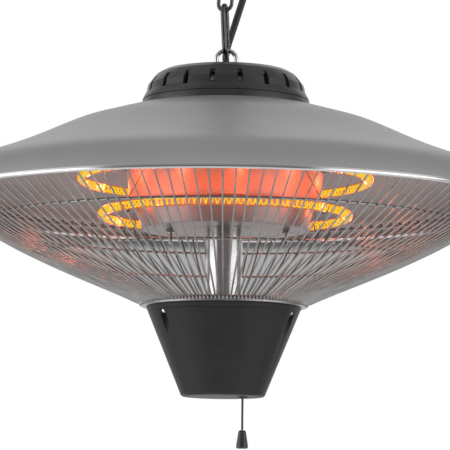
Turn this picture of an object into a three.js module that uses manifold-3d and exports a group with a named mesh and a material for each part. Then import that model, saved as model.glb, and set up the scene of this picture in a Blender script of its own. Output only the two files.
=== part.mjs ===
import * as THREE from "three";
import { mergeVertices } from "three/addons/utils/BufferGeometryUtils.js";
import Module from "manifold-3d";

// Hanging patio heater, in millimetres, +Z up. The origin is the middle of the ceiling plate's top
// face, and everything hangs below it. The front is -Y. A drop is a distance below the ceiling.

const wasm = await Module();
wasm.setup();

// Driving dimensions

const gap = 0.3; // between pieces that touch
const overrun = 3; // how far a cut runs past a face

const plate = { radius: 35, thickness: 5, holeRadius: 2.8, holeSpacing: 52 };
const eye = { stemRadius: 3.5, stemLength: 30.5, innerRadius: 10, wire: 5, collarRadius: 8, collarHeight: 2 };
const link = { wire: 3.8, innerLength: 32, innerWidth: 9.4 };
const hook = { wire: 5, innerLength: 45.3, innerWidth: 13, turn: 12 };
const gate = { wire: 4.2, length: 16, pinAboveBow: 3.2, endAboveBow: 1.3, tongue: 1.8, tongueAbovePin: 2.2 };
const gatePin = { radius: 0.9, clearance: 0.1 };
const gateSlot = { abovePin: 3.5, clearance: 0.3 };

const eyeBolt = { innerRadius: 7.7, wire: 4.5, flangeRadius: 9, flangeHeight: 5.7, shankRadius: 4 };
const nut = { acrossCorners: 15, height: 6.5, flangeRadius: 8, flangeHeight: 1.6, shankPast: 4 };

const cap = {
  crown: 1.3, topRadius: 63, shoulderRun: 7, shoulderDrop: 2.7, chamferRun: 4, chamferDrop: 7.8,
  wallRun: 4.4, wallDrop: 13.5, skirtRun: 1.5, skirtDrop: 20.3, lipRun: 2.1, lipDrop: 24.3,
  baseRun: 1.7, height: 28.3,
  wall: 2.5, recessRadius: 45, recessDrop: 4.1, slots: 18, slotWidth: 5.6, slotTop: 8.4, slotHeight: 13.4,
};
const capBase = { height: 6.7, flare: 0.8, ringWidth: 19.7 };
const hub = { radius: 76, thickness: 2.5, leadHoleRadius: 3.4 };
const gland = {
  radius: 9, shoulderRadius: 7, topRadius: 5, neckRadius: 5.4, collarHeight: 6, height: 18, x: -0.3, y: 20,
  underHeight: 6,
};
const terminal = { length: 34, width: 16, height: 13, middleX: -36 };

const shade = {
  radius: 300, sheet: 1.5, holeRadius: 66, flangeRadius: 87, creaseRadius: 150, creaseDrop: 17.5,
  waistRadius: 190, waistDrop: 35.7, slopeRadius: 240, slopeDrop: 56.2, shoulderRadius: 285,
  shoulderDrop: 70.2, skirtInset: 0.8, skirtDrop: 80.5, rimDrop: 101.1, beadRadius: 2.3,
};

const drum = {
  bossRadius: 58, topRadius: 103.5, topDrop: 5.3, bottomRadius: 95, wallHeight: 87.8, sheet: 1,
  lowerTopRadius: 89, lowerBottomRadius: 83, lowerGap: 2.3, lowerHeight: 22.7, floorThickness: 1.2,
};
const stud = { radius: 2, length: 14, nutRadius: 4, nutHeight: 4, x: 57, y: -26 };

const lamp = { tubeRadius: 4.8, glass: 1, bendRadius: 11, legX: 8 };
const lampBase = { depth: 15, height: 15, past: 3 };
const upperLamp = { radius: 144, drop: 107.3 };
const lowerLamp = { radius: 123, drop: 143.3 };
const filament = { curls: 8, radius: 1.9, wire: 1.1 };
const clip = {
  wire: 1.2, coilRadius: 3, coilTurns: 2, pitch: 1.8, drop: 100.3, spread: 4.5, loopRadius: 6.4,
};

const guard = {
  wires: 140, panels: 7, wire: 2, rimRadius: 286.5, rimDrop: 127.8, rimWire: 4, upperRadius: 246.5,
  upperDrop: 156.7, lowerRadius: 187.5, lowerDrop: 187.6, footRadius: 84.2, footDrop: 233.3, ringWire: 2.4,
};
const guardBase = { radius: 82, rimHeight: 5.5, sheet: 2, drop: 235.3 };

const pole = { radius: 18, wall: 1.5, below: 3 };
const cup = {
  topRadius: 77.2, cornerRadius: 42.6, cornerDrop: 84.9, filletRadius: 41.9, filletDrop: 87,
  bottomRadius: 39.5, height: 88.5, wall: 2.5, screws: 3, firstScrewAngle: -144, screwCircle: 70,
  pocketRadius: 5, pocketWall: 2, pocketRoof: 4.5,
};
const cupScrew = { headRadius: 3.5, headHeight: 2.6, shankRadius: 1.7, shankLength: 7.5 };
const cupBushing = { outerRadius: 4, innerRadius: 1.7, flangeRadius: 5.5, flangeHeight: 1.2 };

const switchBox = { length: 40, width: 26, height: 26, middleX: 8, drop: 4.5 };
const lever = { length: 16, width: 6, thickness: 3, pivotHeight: 4.5, pivotRadius: 1.6 };
const pull = { x: 19.5, radius: 1.1, beadRadius: 2, beadHeight: 3, below: 32.7 };
const knob = { topRadius: 3.9, bottomRadius: 6, height: 18.3, topHeight: 4 };
const knobShares = {
  crown: 0.5, shoulder: 0.25, waist: 0.55, widest: 0.85, edge: 0.96, edgeRadius: 0.93, foot: 0.7,
};
const innerLead = { radius: 2.4, x: 12.4, straight: 5 };

const cord = { radius: 3.5, pitch: 7.65, turnsPerLayer: 2.84, bulge: 3.2, tailBend: 17, joinGap: 0.9 };
const tailOutwardShare = 0.35; // how far the tail turns outward as it leaves the coil
const tie = { width: 10, thickness: 1.2, ringRadius: 5.4, ringHeight: 5, clearance: 1.2, angle: -35 };
const plug = { radius: 15, length: 29, reliefRadius: 5, reliefLength: 17, pinRadius: 2.3, pinLength: 17 };
const plugShares = { reliefTop: 0.85, shoulder: 0.6, shoulderHeight: 0.4, pinsApart: 0.5 };

// Shapes

// A curve whose steps are exactly its points.
class Route extends THREE.Curve {
  constructor(points) {
    super();
    this.points = points;
  }
  getPoint(t, target = new THREE.Vector3()) {
    const last = this.points.length - 1;
    const at = Math.min(Math.max(t, 0), 1) * last;
    const i = Math.min(Math.floor(at), last - 1);
    return target.lerpVectors(this.points[i], this.points[i + 1], at - i);
  }
  getPointAt(u, target) {
    return this.getPoint(u, target);
  }
  getTangentAt(u, target) {
    return this.getTangent(u, target);
  }
}

function polygon(radius, sides) {
  const corners = Array.from({ length: sides }, (_, i) => {
    const angle = (2 * Math.PI * i) / sides;
    return new THREE.Vector2(radius * Math.cos(angle), radius * Math.sin(angle));
  });
  return new THREE.Shape(corners);
}

// Merged vertices, no flat triangles, and faces that point out.
function closed(geometry) {
  geometry.deleteAttribute("normal");
  geometry.deleteAttribute("uv");
  const merged = mergeVertices(geometry, 1e-4);
  const at = merged.attributes.position;
  const corners = [0, 1, 2].map(() => new THREE.Vector3());
  const kept = [];
  let volume = 0;
  for (let i = 0; i < merged.index.count; i += 3) {
    const [a, b, c] = [0, 1, 2].map((k) => merged.index.getX(i + k));
    if (a === b || b === c || c === a) continue;
    kept.push(a, b, c);
    [a, b, c].forEach((v, k) => corners[k].fromBufferAttribute(at, v));
    volume += corners[0].dot(corners[1].clone().cross(corners[2]));
  }
  if (volume < 0) kept.reverse();
  merged.setIndex(kept);
  return merged;
}

// A profile of [radius, drop] points turned round the vertical axis.
function turned(profile, sides, ring = false) {
  const points = profile.map(([radius, drop]) => new THREE.Vector2(radius, -drop));
  if (ring) points.push(points[0].clone());
  return closed(new THREE.LatheGeometry(points, sides).rotateX(Math.PI / 2));
}

function disc(radius, topDrop, height, sides, innerRadius = 0) {
  const bottomDrop = topDrop + height;
  const top = [[innerRadius, topDrop], [radius, topDrop]];
  const bottom = [[radius, bottomDrop], [innerRadius, bottomDrop]];
  return turned([...top, ...bottom], sides, innerRadius > 0);
}

function box(length, width, height, x = 0, y = 0, drop = 0) {
  return closed(new THREE.BoxGeometry(length, width, height).translate(x, y, -drop));
}

function tube(points, radius, sides) {
  const options = { steps: points.length - 1, extrudePath: new Route(points), bevelEnabled: false };
  return closed(new THREE.ExtrudeGeometry(polygon(radius, sides), options));
}

function hollowTube(points, radius, wall, sides) {
  const section = polygon(radius, sides);
  section.holes.push(polygon(radius - wall, sides));
  const options = { steps: points.length - 1, extrudePath: new Route(points), bevelEnabled: false };
  return closed(new THREE.ExtrudeGeometry(section, options));
}

function loop(points, radius, sides) {
  const path = new Route([...points, points[0]]);
  const loopPath = new THREE.CatmullRomCurve3(points, true, "catmullrom", 0.5);
  path.getTangentAt = (u, target) => loopPath.getTangent(u, target);
  return closed(new THREE.TubeGeometry(path, points.length, radius, sides, true));
}

function solid(geometry) {
  const shape = closed(geometry);
  const mesh = new wasm.Mesh({
    numProp: 3,
    vertProperties: new Float32Array(shape.attributes.position.array),
    triVerts: new Uint32Array(shape.index.array),
  });
  return new wasm.Manifold(mesh);
}

function geometryOf(made) {
  const mesh = made.getMesh();
  const geometry = new THREE.BufferGeometry();
  geometry.setAttribute("position", new THREE.BufferAttribute(new Float32Array(mesh.vertProperties), 3));
  geometry.setIndex([...mesh.triVerts]);
  return geometry;
}

const joined = (first, ...others) => geometryOf(others.reduce((all, g) => all.add(solid(g)), solid(first)));
const cut = (first, ...tools) => geometryOf(tools.reduce((all, g) => all.subtract(solid(g)), solid(first)));
const shared = (first, second) => geometryOf(solid(first).intersect(solid(second)));

const degrees = (angle) => (angle * Math.PI) / 180;
const around = (radius, angle, drop) =>
  new THREE.Vector3(radius * Math.cos(angle), radius * Math.sin(angle), -drop);
const smooth = (points, steps) =>
  new THREE.CatmullRomCurve3(points, false, "centripetal").getSpacedPoints(steps);
const place = ([x, y, drop]) => new THREE.Vector3(x, y, -drop);

// Materials

const finishes = {
  zincSteel: { color: 0x8d8f90, roughness: 0.35, metalness: 1 },
  chrome: { color: 0xc9cacc, roughness: 0.15, metalness: 1 },
  shadePaint: { color: 0x8f8e8d, roughness: 0.35, metalness: 0.6 },
  blackPlastic: { color: 0x2b2b2c, roughness: 0.5, metalness: 0 },
  cordRubber: { color: 0x303031, roughness: 0.6, metalness: 0 },
  reflector: { color: 0xb5b5b3, roughness: 0.3, metalness: 1 },
  guardWire: { color: 0x7d7c7b, roughness: 0.35, metalness: 1 },
  lampGlass: { color: 0xffb45a, roughness: 0.1, metalness: 0 },
  filament: { color: 0xfff04a, roughness: 0.5, metalness: 0 },
  ceramic: { color: 0xd8d2c6, roughness: 0.7, metalness: 0 },
  brass: { color: 0xb08d4c, roughness: 0.35, metalness: 1 },
};

function add(group, name, finish, geometry) {
  const mesh = new THREE.Mesh(geometry, new THREE.MeshStandardMaterial(finishes[finish]));
  mesh.name = name;
  group.add(mesh);
  return mesh;
}

const patioHeater = new THREE.Group();

// Ceiling plate and eye

const eyeRingRadius = eye.innerRadius + eye.wire / 2;
const eyeTop = plate.thickness + eye.stemLength;
const eyeMiddle = eyeTop + eye.wire + eye.innerRadius;
const eyeSeat = eyeMiddle + eye.innerRadius; // the drop of the ring's inner bottom

function makeCeilingPlate() {
  const hole = (side) =>
    disc(plate.holeRadius, -overrun, plate.thickness + 2 * overrun, 12).translate(
      (side * plate.holeSpacing) / 2, 0, 0,
    );
  return cut(disc(plate.radius, 0, plate.thickness, 22), hole(-1), hole(1));
}

function makeCeilingEye() {
  const top = plate.thickness + gap;
  const ring = new THREE.TorusGeometry(eyeRingRadius, eye.wire / 2, 7, 18).rotateX(Math.PI / 2);
  const stem = disc(eye.stemRadius, top, eyeTop + eye.wire / 2 - top, 12);
  const collar = disc(eye.collarRadius, top, eye.collarHeight, 12);
  return joined(ring.translate(0, 0, -eyeMiddle), stem, collar);
}

add(patioHeater, "ceiling_plate", "zincSteel", makeCeilingPlate());
add(patioHeater, "ceiling_eye", "zincSteel", makeCeilingEye());

// Chain links: the upper one lies in the YZ plane, the lower one in the XZ plane.

function stadium(halfWidth, straight, sides) {
  const half = sides / 2;
  const arc = (start, lift) =>
    Array.from({ length: half + 1 }, (_, i) => {
      const angle = start + (Math.PI * i) / half;
      return new THREE.Vector3(halfWidth * Math.cos(angle), 0, halfWidth * Math.sin(angle) + lift);
    });
  return [...arc(0, straight / 2), ...arc(Math.PI, -straight / 2)];
}

function makeLink(topDrop) {
  const halfWidth = (link.innerWidth + link.wire) / 2;
  const straight = link.innerLength - link.innerWidth;
  const middle = topDrop + link.innerLength / 2;
  return loop(stadium(halfWidth, straight, 16), link.wire / 2, 6).translate(0, 0, -middle);
}

const upperLinkTop = eyeSeat - gap; // the drop of the link's inner top
const upperLinkSeat = upperLinkTop + link.innerLength;
const lowerLinkTop = upperLinkSeat - gap;
const lowerLinkSeat = lowerLinkTop + link.innerLength;

add(patioHeater, "chain_link_upper", "zincSteel", makeLink(upperLinkTop).rotateZ(Math.PI / 2));
add(patioHeater, "chain_link_lower", "zincSteel", makeLink(lowerLinkTop));

// Snap hook, in its own plane: along is the way from the gate to the spine.

const hookTop = lowerLinkSeat - gap;
const hookSeat = hookTop + hook.innerLength;
const hookHalf = (hook.innerWidth + hook.wire) / 2;
const hookBowDrops = { top: hookTop + hook.innerWidth / 2, bottom: hookSeat - hook.innerWidth / 2 };
const pinDrop = hookBowDrops.bottom - gate.pinAboveBow;
const noseDrop = pinDrop - gate.length;

function hookPoint(along, drop) {
  return new THREE.Vector3(0, -along, -drop);
}

function makeHookBody() {
  const steps = 8;
  const bow = (middle, start) =>
    Array.from({ length: steps + 1 }, (_, i) => {
      const angle = start + (Math.PI * i) / steps;
      return hookPoint(hookHalf * Math.cos(angle), middle - hookHalf * Math.sin(angle));
    });
  const route = [
    hookPoint(-hookHalf, noseDrop - gap),
    ...bow(hookBowDrops.top, 0).reverse(),
    ...bow(hookBowDrops.bottom, Math.PI).reverse(),
  ];
  const tongueTop = pinDrop - gate.tongueAbovePin;
  const tongueHeight = hookBowDrops.bottom + gap - tongueTop;
  const tongue = box(gate.tongue, gate.wire, tongueHeight, 0, hookHalf, tongueTop + tongueHeight / 2);
  return joined(tube(route, hook.wire / 2, 8), tongue);
}

function pinAlongX(radius, length) {
  const pin = new THREE.CylinderGeometry(radius, radius, length, 8).rotateZ(Math.PI / 2);
  return closed(pin.translate(0, hookHalf, -pinDrop));
}

const pinHole = () => pinAlongX(gatePin.radius + gatePin.clearance, 2 * hook.wire);

function makeGate() {
  const bottom = hookBowDrops.bottom - gate.endAboveBow;
  const bar = tube([hookPoint(-hookHalf, bottom), hookPoint(-hookHalf, noseDrop)], gate.wire / 2, 8);
  const slotWidth = gate.tongue + 2 * gateSlot.clearance;
  const slotTop = pinDrop - gateSlot.abovePin;
  const slotHeight = bottom + overrun - slotTop;
  const slot = box(slotWidth, 2 * gate.wire, slotHeight, 0, hookHalf, slotTop + slotHeight / 2);
  return cut(bar, slot, pinHole());
}

const hookTurn = degrees(-hook.turn);
add(patioHeater, "snap_hook", "zincSteel", cut(makeHookBody(), pinHole()).rotateZ(hookTurn));
add(patioHeater, "hook_gate", "zincSteel", makeGate().rotateZ(hookTurn));
add(patioHeater, "gate_pin", "zincSteel", pinAlongX(gatePin.radius, gate.wire + gap).rotateZ(hookTurn));

// The heater hangs in its own group, whose drops start at the cap's top face.

const ringTop = hookSeat - gap; // the drop of the eye bolt ring's inner top
const ringMiddle = ringTop + eyeBolt.innerRadius;
const flangeTop = ringMiddle + eyeBolt.innerRadius + eyeBolt.wire;
const heaterDrop = flangeTop + eyeBolt.flangeHeight + gap - cap.recessDrop;
const heater = new THREE.Group();
heater.position.z = -heaterDrop;
patioHeater.add(heater);

const capBaseTop = cap.height + gap;
const capShoulderRadius = cap.topRadius + cap.shoulderRun;
const capChamferRadius = capShoulderRadius + cap.chamferRun;
const capWallRadius = capChamferRadius + cap.wallRun;
const capSkirtRadius = capWallRadius + cap.skirtRun;
const capLipRadius = capSkirtRadius + cap.lipRun;
const capBaseRadius = capLipRadius + cap.baseRun;
const flangeDrop = capBaseTop + capBase.height + gap; // the shade's top face
const hubTop = flangeDrop + shade.sheet + gap;
const hubBottom = hubTop + hub.thickness;
const drumTop = hubBottom + gap;
const poleTop = drumTop;

function makeEyeBolt() {
  const middle = ringMiddle - heaterDrop;
  const radius = eyeBolt.innerRadius + eyeBolt.wire / 2;
  const ring = new THREE.TorusGeometry(radius, eyeBolt.wire / 2, 7, 18).rotateX(Math.PI / 2);
  const seat = middle + radius;
  const flange = disc(eyeBolt.flangeRadius, seat, cap.recessDrop - gap - seat, 12);
  const shankEnd = poleTop + nut.flangeHeight + nut.height + nut.shankPast;
  const shank = disc(eyeBolt.shankRadius, cap.recessDrop - 2 * gap, shankEnd - cap.recessDrop, 12);
  return joined(ring.translate(0, 0, -middle), flange, shank);
}

function makeEyeNut() {
  const top = poleTop;
  const height = nut.flangeHeight + nut.height;
  const hex = disc(nut.acrossCorners / 2, top + nut.flangeHeight - gap, nut.height + gap, 6);
  const bore = disc(eyeBolt.shankRadius + gap, top - overrun, height + 2 * overrun, 12);
  return cut(joined(disc(nut.flangeRadius, top, nut.flangeHeight, 12), hex), bore);
}

function makeCap() {
  const wall = cap.wall;
  const outside = [
    [0, cap.recessDrop], [cap.recessRadius - wall / 2, cap.recessDrop], [cap.recessRadius, -cap.crown],
    [cap.topRadius, -cap.crown], [capShoulderRadius, cap.shoulderDrop],
    [capChamferRadius, cap.chamferDrop], [capWallRadius, cap.wallDrop],
    [capSkirtRadius, cap.skirtDrop], [capLipRadius, cap.lipDrop], [capBaseRadius, cap.height],
    [0, cap.height],
  ];
  const inside = [
    [0, cap.height + overrun], [capBaseRadius - wall, cap.height + overrun],
    [capSkirtRadius - wall, cap.skirtDrop + wall / 2],
    [capChamferRadius - wall, cap.chamferDrop + wall / 2],
    [cap.topRadius - wall / 3, wall - cap.crown], [cap.recessRadius + wall, wall - cap.crown],
    [cap.recessRadius + wall / 2, cap.recessDrop + wall], [0, cap.recessDrop + wall],
  ];
  const shell = cut(turned(outside, 2 * cap.slots), turned(inside, cap.slots));
  const slots = Array.from({ length: cap.slots }, (_, i) => {
    const reach = cap.skirtRun + 4 * wall;
    const drop = cap.slotTop + cap.slotHeight / 2;
    const slot = box(reach, cap.slotWidth, cap.slotHeight, capWallRadius, 0, drop);
    return slot.rotateZ(((i + 0.5) * 2 * Math.PI) / cap.slots - Math.PI / 2);
  });
  const glandHole = disc(gland.neckRadius + gap, 0, cap.recessDrop + wall + overrun, 12);
  const boltHole = disc(eyeBolt.shankRadius + gap, 0, cap.recessDrop + wall + overrun, 10);
  return cut(shell, ...slots, boltHole, glandHole.translate(gland.x, gland.y, 0));
}

function makeGland() {
  const seat = cap.recessDrop - gap;
  const top = seat - gland.height;
  const bore = cord.radius + gap;
  const bottom = cap.recessDrop + cap.wall + gland.underHeight;
  const profile = [
    [bore, top], [gland.topRadius, top], [gland.shoulderRadius, seat - gland.collarHeight],
    [gland.radius, seat - gland.collarHeight], [gland.radius, seat], [gland.neckRadius, seat],
    [gland.neckRadius, bottom], [bore, bottom],
  ];
  return turned(profile, 12, true).translate(gland.x, gland.y, 0);
}

function makeCapBase() {
  const bottom = capBaseTop + capBase.height;
  const innerRadius = capBaseRadius - capBase.ringWidth;
  const profile = [
    [innerRadius, capBaseTop], [capBaseRadius, capBaseTop], [capBaseRadius + capBase.flare, bottom],
    [innerRadius, bottom],
  ];
  return turned(profile, 32, true);
}

function makeHubPlate() {
  const bolt = disc(eyeBolt.shankRadius + gap, hubTop - overrun, hub.thickness + 2 * overrun, 12);
  const lead = disc(hub.leadHoleRadius, hubTop - overrun, hub.thickness + 2 * overrun, 10);
  return cut(disc(hub.radius, hubTop, hub.thickness, 32), bolt, lead.translate(innerLead.x, 0, 0));
}

function makeTerminalBlock() {
  const drop = hubTop - gap - terminal.height / 2;
  return box(terminal.length, terminal.width, terminal.height, terminal.middleX, 0, drop);
}

add(heater, "eye_bolt", "chrome", makeEyeBolt());
add(heater, "eye_nut", "zincSteel", makeEyeNut());
add(heater, "cap", "blackPlastic", makeCap());
add(heater, "cap_base", "blackPlastic", makeCapBase());
add(heater, "cord_gland", "blackPlastic", makeGland());
add(heater, "hub_plate", "zincSteel", makeHubPlate());
add(heater, "terminal_block", "ceramic", makeTerminalBlock());

// Shade: one spun sheet with a rolled rim

function makeShade() {
  const top = flangeDrop;
  const sheet = shade.sheet;
  const skirtRadius = shade.radius - shade.skirtInset;
  const rim = top + shade.rimDrop;
  const bead = { radius: shade.beadRadius, middle: shade.radius - shade.beadRadius };
  const roll = [40, -30, -110, -200].map(degrees).map((angle) => [
    bead.middle + bead.radius * Math.cos(angle), rim - bead.radius - bead.radius * Math.sin(angle),
  ]);
  const profile = [
    [shade.holeRadius, top], [shade.flangeRadius, top], [shade.creaseRadius, top + shade.creaseDrop],
    [shade.waistRadius, top + shade.waistDrop], [shade.slopeRadius, top + shade.slopeDrop],
    [shade.shoulderRadius, top + shade.shoulderDrop],
    [skirtRadius, top + shade.skirtDrop],
    ...roll,
    [skirtRadius - sheet, rim - 2 * bead.radius - sheet],
    [skirtRadius - sheet, top + shade.skirtDrop + sheet / 2],
    [shade.shoulderRadius - sheet / 2, top + shade.shoulderDrop + sheet],
    [shade.slopeRadius - sheet / 2, top + shade.slopeDrop + sheet],
    [shade.waistRadius - sheet / 2, top + shade.waistDrop + sheet],
    [shade.creaseRadius - sheet / 2, top + shade.creaseDrop + sheet],
    [shade.flangeRadius - sheet / 2, top + sheet], [shade.holeRadius, top + sheet],
  ];
  return turned(profile, 36, true);
}

add(heater, "shade", "shadePaint", makeShade());

// Reflector drum in two parts, and its floor

const upperDrumBottom = drumTop + drum.topDrop + drum.wallHeight;
const lowerDrumTop = upperDrumBottom + drum.lowerGap;
const lowerDrumBottom = lowerDrumTop + drum.lowerHeight;
const poleHole = pole.radius + gap;

function makeUpperDrum() {
  const { sheet } = drum;
  const profile = [
    [poleHole, drumTop], [drum.bossRadius, drumTop], [drum.topRadius, drumTop + drum.topDrop],
    [drum.bottomRadius, upperDrumBottom], [drum.bottomRadius - sheet, upperDrumBottom],
    [drum.topRadius - sheet, drumTop + drum.topDrop + sheet], [drum.bossRadius - sheet, drumTop + sheet],
    [poleHole, drumTop + sheet],
  ];
  return turned(profile, 32, true);
}

function makeLowerDrum() {
  const { sheet } = drum;
  const profile = [
    [poleHole, lowerDrumTop], [drum.lowerTopRadius, lowerDrumTop], [drum.lowerBottomRadius, lowerDrumBottom],
    [drum.lowerBottomRadius - sheet, lowerDrumBottom], [drum.lowerTopRadius - sheet, lowerDrumTop + sheet],
    [poleHole, lowerDrumTop + sheet],
  ];
  return turned(profile, 32, true);
}

function makeDrumFloor() {
  const top = lowerDrumBottom - drum.floorThickness;
  const holes = [-1, 1].map((side) =>
    disc(stud.radius + gap, top - overrun, drum.floorThickness + 2 * overrun, 8).translate(
      side * stud.x, stud.y, 0,
    ),
  );
  const radius = drum.lowerBottomRadius - drum.sheet - gap;
  return cut(disc(radius, top, drum.floorThickness, 32, poleHole), ...holes);
}

function makeStud(side) {
  const top = lowerDrumBottom - drum.floorThickness - drum.sheet;
  const nutTop = lowerDrumBottom + gap;
  const profile = [
    [0, top], [stud.radius, top], [stud.radius, nutTop], [stud.nutRadius, nutTop],
    [stud.nutRadius, nutTop + stud.nutHeight], [stud.radius, nutTop + stud.nutHeight],
    [stud.radius, lowerDrumBottom + stud.length], [0, lowerDrumBottom + stud.length],
  ];
  return turned(profile, 6).translate(side * stud.x, stud.y, 0);
}

add(heater, "upper_drum", "reflector", makeUpperDrum());
add(heater, "lower_drum", "reflector", makeLowerDrum());
add(heater, "drum_floor", "reflector", makeDrumFloor());
add(heater, "floor_stud_left", "zincSteel", makeStud(-1));
add(heater, "floor_stud_right", "zincSteel", makeStud(1));

// Ring lamps: an arc of glass tube, open at the rear, whose ends turn in to one ceramic base.

function drumRadiusAt(drop) {
  if (drop > lowerDrumTop) {
    const share = (drop - lowerDrumTop) / drum.lowerHeight;
    return drum.lowerTopRadius + share * (drum.lowerBottomRadius - drum.lowerTopRadius);
  }
  const share = (drop - drumTop - drum.topDrop) / (upperDrumBottom - drumTop - drum.topDrop);
  return drum.topRadius + share * (drum.bottomRadius - drum.topRadius);
}

const lampBaseTop = (which) => which.drop - lampBase.height / 2;
const lampEnd = (which) => drumRadiusAt(lampBaseTop(which)) + gap + lampBase.depth;

// Where the bend that joins a leg to the arc has its middle.
function lampBend(which) {
  const x = lamp.legX + lamp.bendRadius;
  return { x, y: Math.sqrt((which.radius - lamp.bendRadius) ** 2 - x ** 2) };
}

function lampArc(which) {
  const steps = 24;
  const { x, y } = lampBend(which);
  const from = Math.atan2(y, x);
  return Array.from({ length: steps + 1 }, (_, i) =>
    around(which.radius, from - ((2 * from + Math.PI) * i) / steps, which.drop),
  );
}

// The tube's middle line: a leg out of the base, a bend, round the drum, a bend and a leg back in.
function lampLine(which) {
  const bendSteps = 3;
  const { x, y } = lampBend(which);
  const sweep = Math.PI - Math.atan2(y, x);
  const leg = new THREE.Vector3(lamp.legX, lampEnd(which) + gap, -which.drop);
  const bend = Array.from({ length: bendSteps }, (_, i) => {
    const angle = Math.PI - (sweep * i) / bendSteps;
    const out = new THREE.Vector3(Math.cos(angle), Math.sin(angle), 0).multiplyScalar(lamp.bendRadius);
    return out.add(new THREE.Vector3(x, y, -which.drop));
  });
  const right = [leg, ...bend];
  const left = right.map((p) => new THREE.Vector3(-p.x, p.y, p.z)).reverse();
  return [...right, ...lampArc(which), ...left];
}

// A wire wound round the lamp's middle line.
function filamentLine(which) {
  const stepsPerCurl = 8;
  const steps = stepsPerCurl * filament.curls;
  const line = lampArc(which);
  const lengths = line.slice(1).map((p, i) => p.distanceTo(line[i]));
  const total = lengths.reduce((sum, length) => sum + length, 0);
  const up = new THREE.Vector3(0, 0, 1);
  let walked = 0;
  let piece = 0;
  return Array.from({ length: steps + 1 }, (_, i) => {
    const wanted = (total * (i + 1)) / (steps + 2);
    while (walked + lengths[piece] < wanted) walked += lengths[piece++];
    const from = line[piece];
    const along = line[piece + 1].clone().sub(from).normalize();
    const angle = (2 * Math.PI * i) / stepsPerCurl;
    return from
      .clone()
      .addScaledVector(along, wanted - walked)
      .addScaledVector(along.clone().cross(up), filament.radius * Math.cos(angle))
      .addScaledVector(up, filament.radius * Math.sin(angle));
  });
}

function makeLampBase(which) {
  const inner = drumRadiusAt(lampBaseTop(which)) + gap;
  const outer = lampEnd(which);
  const width = 2 * (lamp.legX + lamp.tubeRadius + lampBase.past);
  const depth = lampBase.depth + overrun;
  const block = box(width, depth, lampBase.height, 0, outer - depth / 2, which.drop);
  return cut(block, disc(inner, lampBaseTop(which) - overrun, lampBase.height + 2 * overrun, 40));
}

[["upper", upperLamp], ["lower", lowerLamp]].forEach(([name, which]) => {
  add(heater, `lamp_${name}`, "lampGlass", hollowTube(lampLine(which), lamp.tubeRadius, lamp.glass, 6));
  add(heater, `filament_${name}`, "filament", tube(filamentLine(which), filament.wire / 2, 3));
  add(heater, `lamp_base_${name}`, "ceramic", makeLampBase(which));
});

// Lamp clips: a small coil on the drum with one arm to each lamp, each arm ending in a loop.

function clipLine(side, rear) {
  const flip = side * rear;
  const middleAngle = rear * degrees(-45);
  const angle = side > 0 ? middleAngle : Math.PI - middleAngle;
  const radial = around(1, angle, 0);
  const sideways = new THREE.Vector3(-Math.sin(angle), Math.cos(angle), 0).multiplyScalar(flip);
  const up = new THREE.Vector3(0, 0, 1);
  const reach = drumRadiusAt(clip.drop) + gap + clip.wire;
  const coilMiddle = radial.clone().multiplyScalar(reach).setZ(-clip.drop);
  const coilSteps = 6 * clip.coilTurns;
  const coil = Array.from({ length: coilSteps + 1 }, (_, i) => {
    const turn = (i * Math.PI) / 3;
    return coilMiddle
      .clone()
      .addScaledVector(radial, (clip.pitch * i) / 6)
      .addScaledVector(sideways, clip.coilRadius * Math.cos(turn))
      .addScaledVector(up, clip.coilRadius * Math.sin(turn));
  });
  const hookRound = (which, shift, from, to, count) => {
    const middle = radial.clone().multiplyScalar(which.radius).addScaledVector(sideways, shift);
    const away = Math.sqrt(which.radius ** 2 - shift ** 2) / which.radius;
    middle.x *= away;
    middle.y *= away;
    return Array.from({ length: count + 1 }, (_, i) => {
      const turn = degrees(from + ((to - from) * i) / count);
      return middle
        .clone()
        .setZ(-which.drop)
        .addScaledVector(radial, clip.loopRadius * Math.cos(turn))
        .addScaledVector(up, clip.loopRadius * Math.sin(turn));
    });
  };
  const upper = hookRound(upperLamp, -2 * clip.spread, 300, 100, 6);
  const lower = hookRound(lowerLamp, 3 * clip.spread, 110, 330, 6);
  return [...upper, ...coil, ...lower];
}

[["front_left", -1, 1], ["front_right", 1, 1], ["rear_left", -1, -1], ["rear_right", 1, -1]].forEach(
  ([name, side, rear]) => {
    const wire = tube(clipLine(side, rear), clip.wire / 2, 3);
    add(heater, `clip_${name}`, "zincSteel", wire);
  },
);

// Guard: radial wires bent over at their ends, in panels, on a rim ring, two cross rings and the base

function guardPanel(index) {
  const wires = guard.wires / guard.panels;
  const shape = [
    [guard.rimRadius, guard.rimDrop], [guard.upperRadius, guard.upperDrop],
    [guard.lowerRadius, guard.lowerDrop], [guard.footRadius, guard.footDrop],
  ];
  const line = [];
  for (let i = 0; i < wires; i++) {
    const angle = (2 * Math.PI * (index * wires + i)) / guard.wires;
    const wire = shape.map(([radius, drop]) => around(radius, angle, drop));
    line.push(...(i % 2 ? wire.reverse() : wire));
  }
  return tube(line, guard.wire / 2, 3);
}

function wireRing(radius, drop, wire, steps, sides) {
  const ring = new THREE.TorusGeometry(radius, wire / 2, sides, steps);
  return closed(ring.translate(0, 0, -drop));
}

function makeGuardBase() {
  const { radius, sheet, rimHeight, drop } = guardBase;
  const top = drop - rimHeight;
  const profile = [
    [poleHole, drop - sheet], [radius - sheet, drop - sheet], [radius - sheet, top], [radius, top],
    [radius, drop], [poleHole, drop],
  ];
  const holes = cupScrewAngles.map((angle) => {
    const at = around(cup.screwCircle, angle, 0);
    return disc(cupScrew.shankRadius + gap, top, rimHeight + overrun, 8).translate(at.x, at.y, 0);
  });
  return cut(turned(profile, 32, true), ...holes);
}

const cupScrewAngles = Array.from(
  { length: cup.screws },
  (_, i) => degrees(cup.firstScrewAngle + (360 * i) / cup.screws),
);
const guardOffset = guard.wire / 2 + guard.ringWire / 2 + gap;

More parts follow.
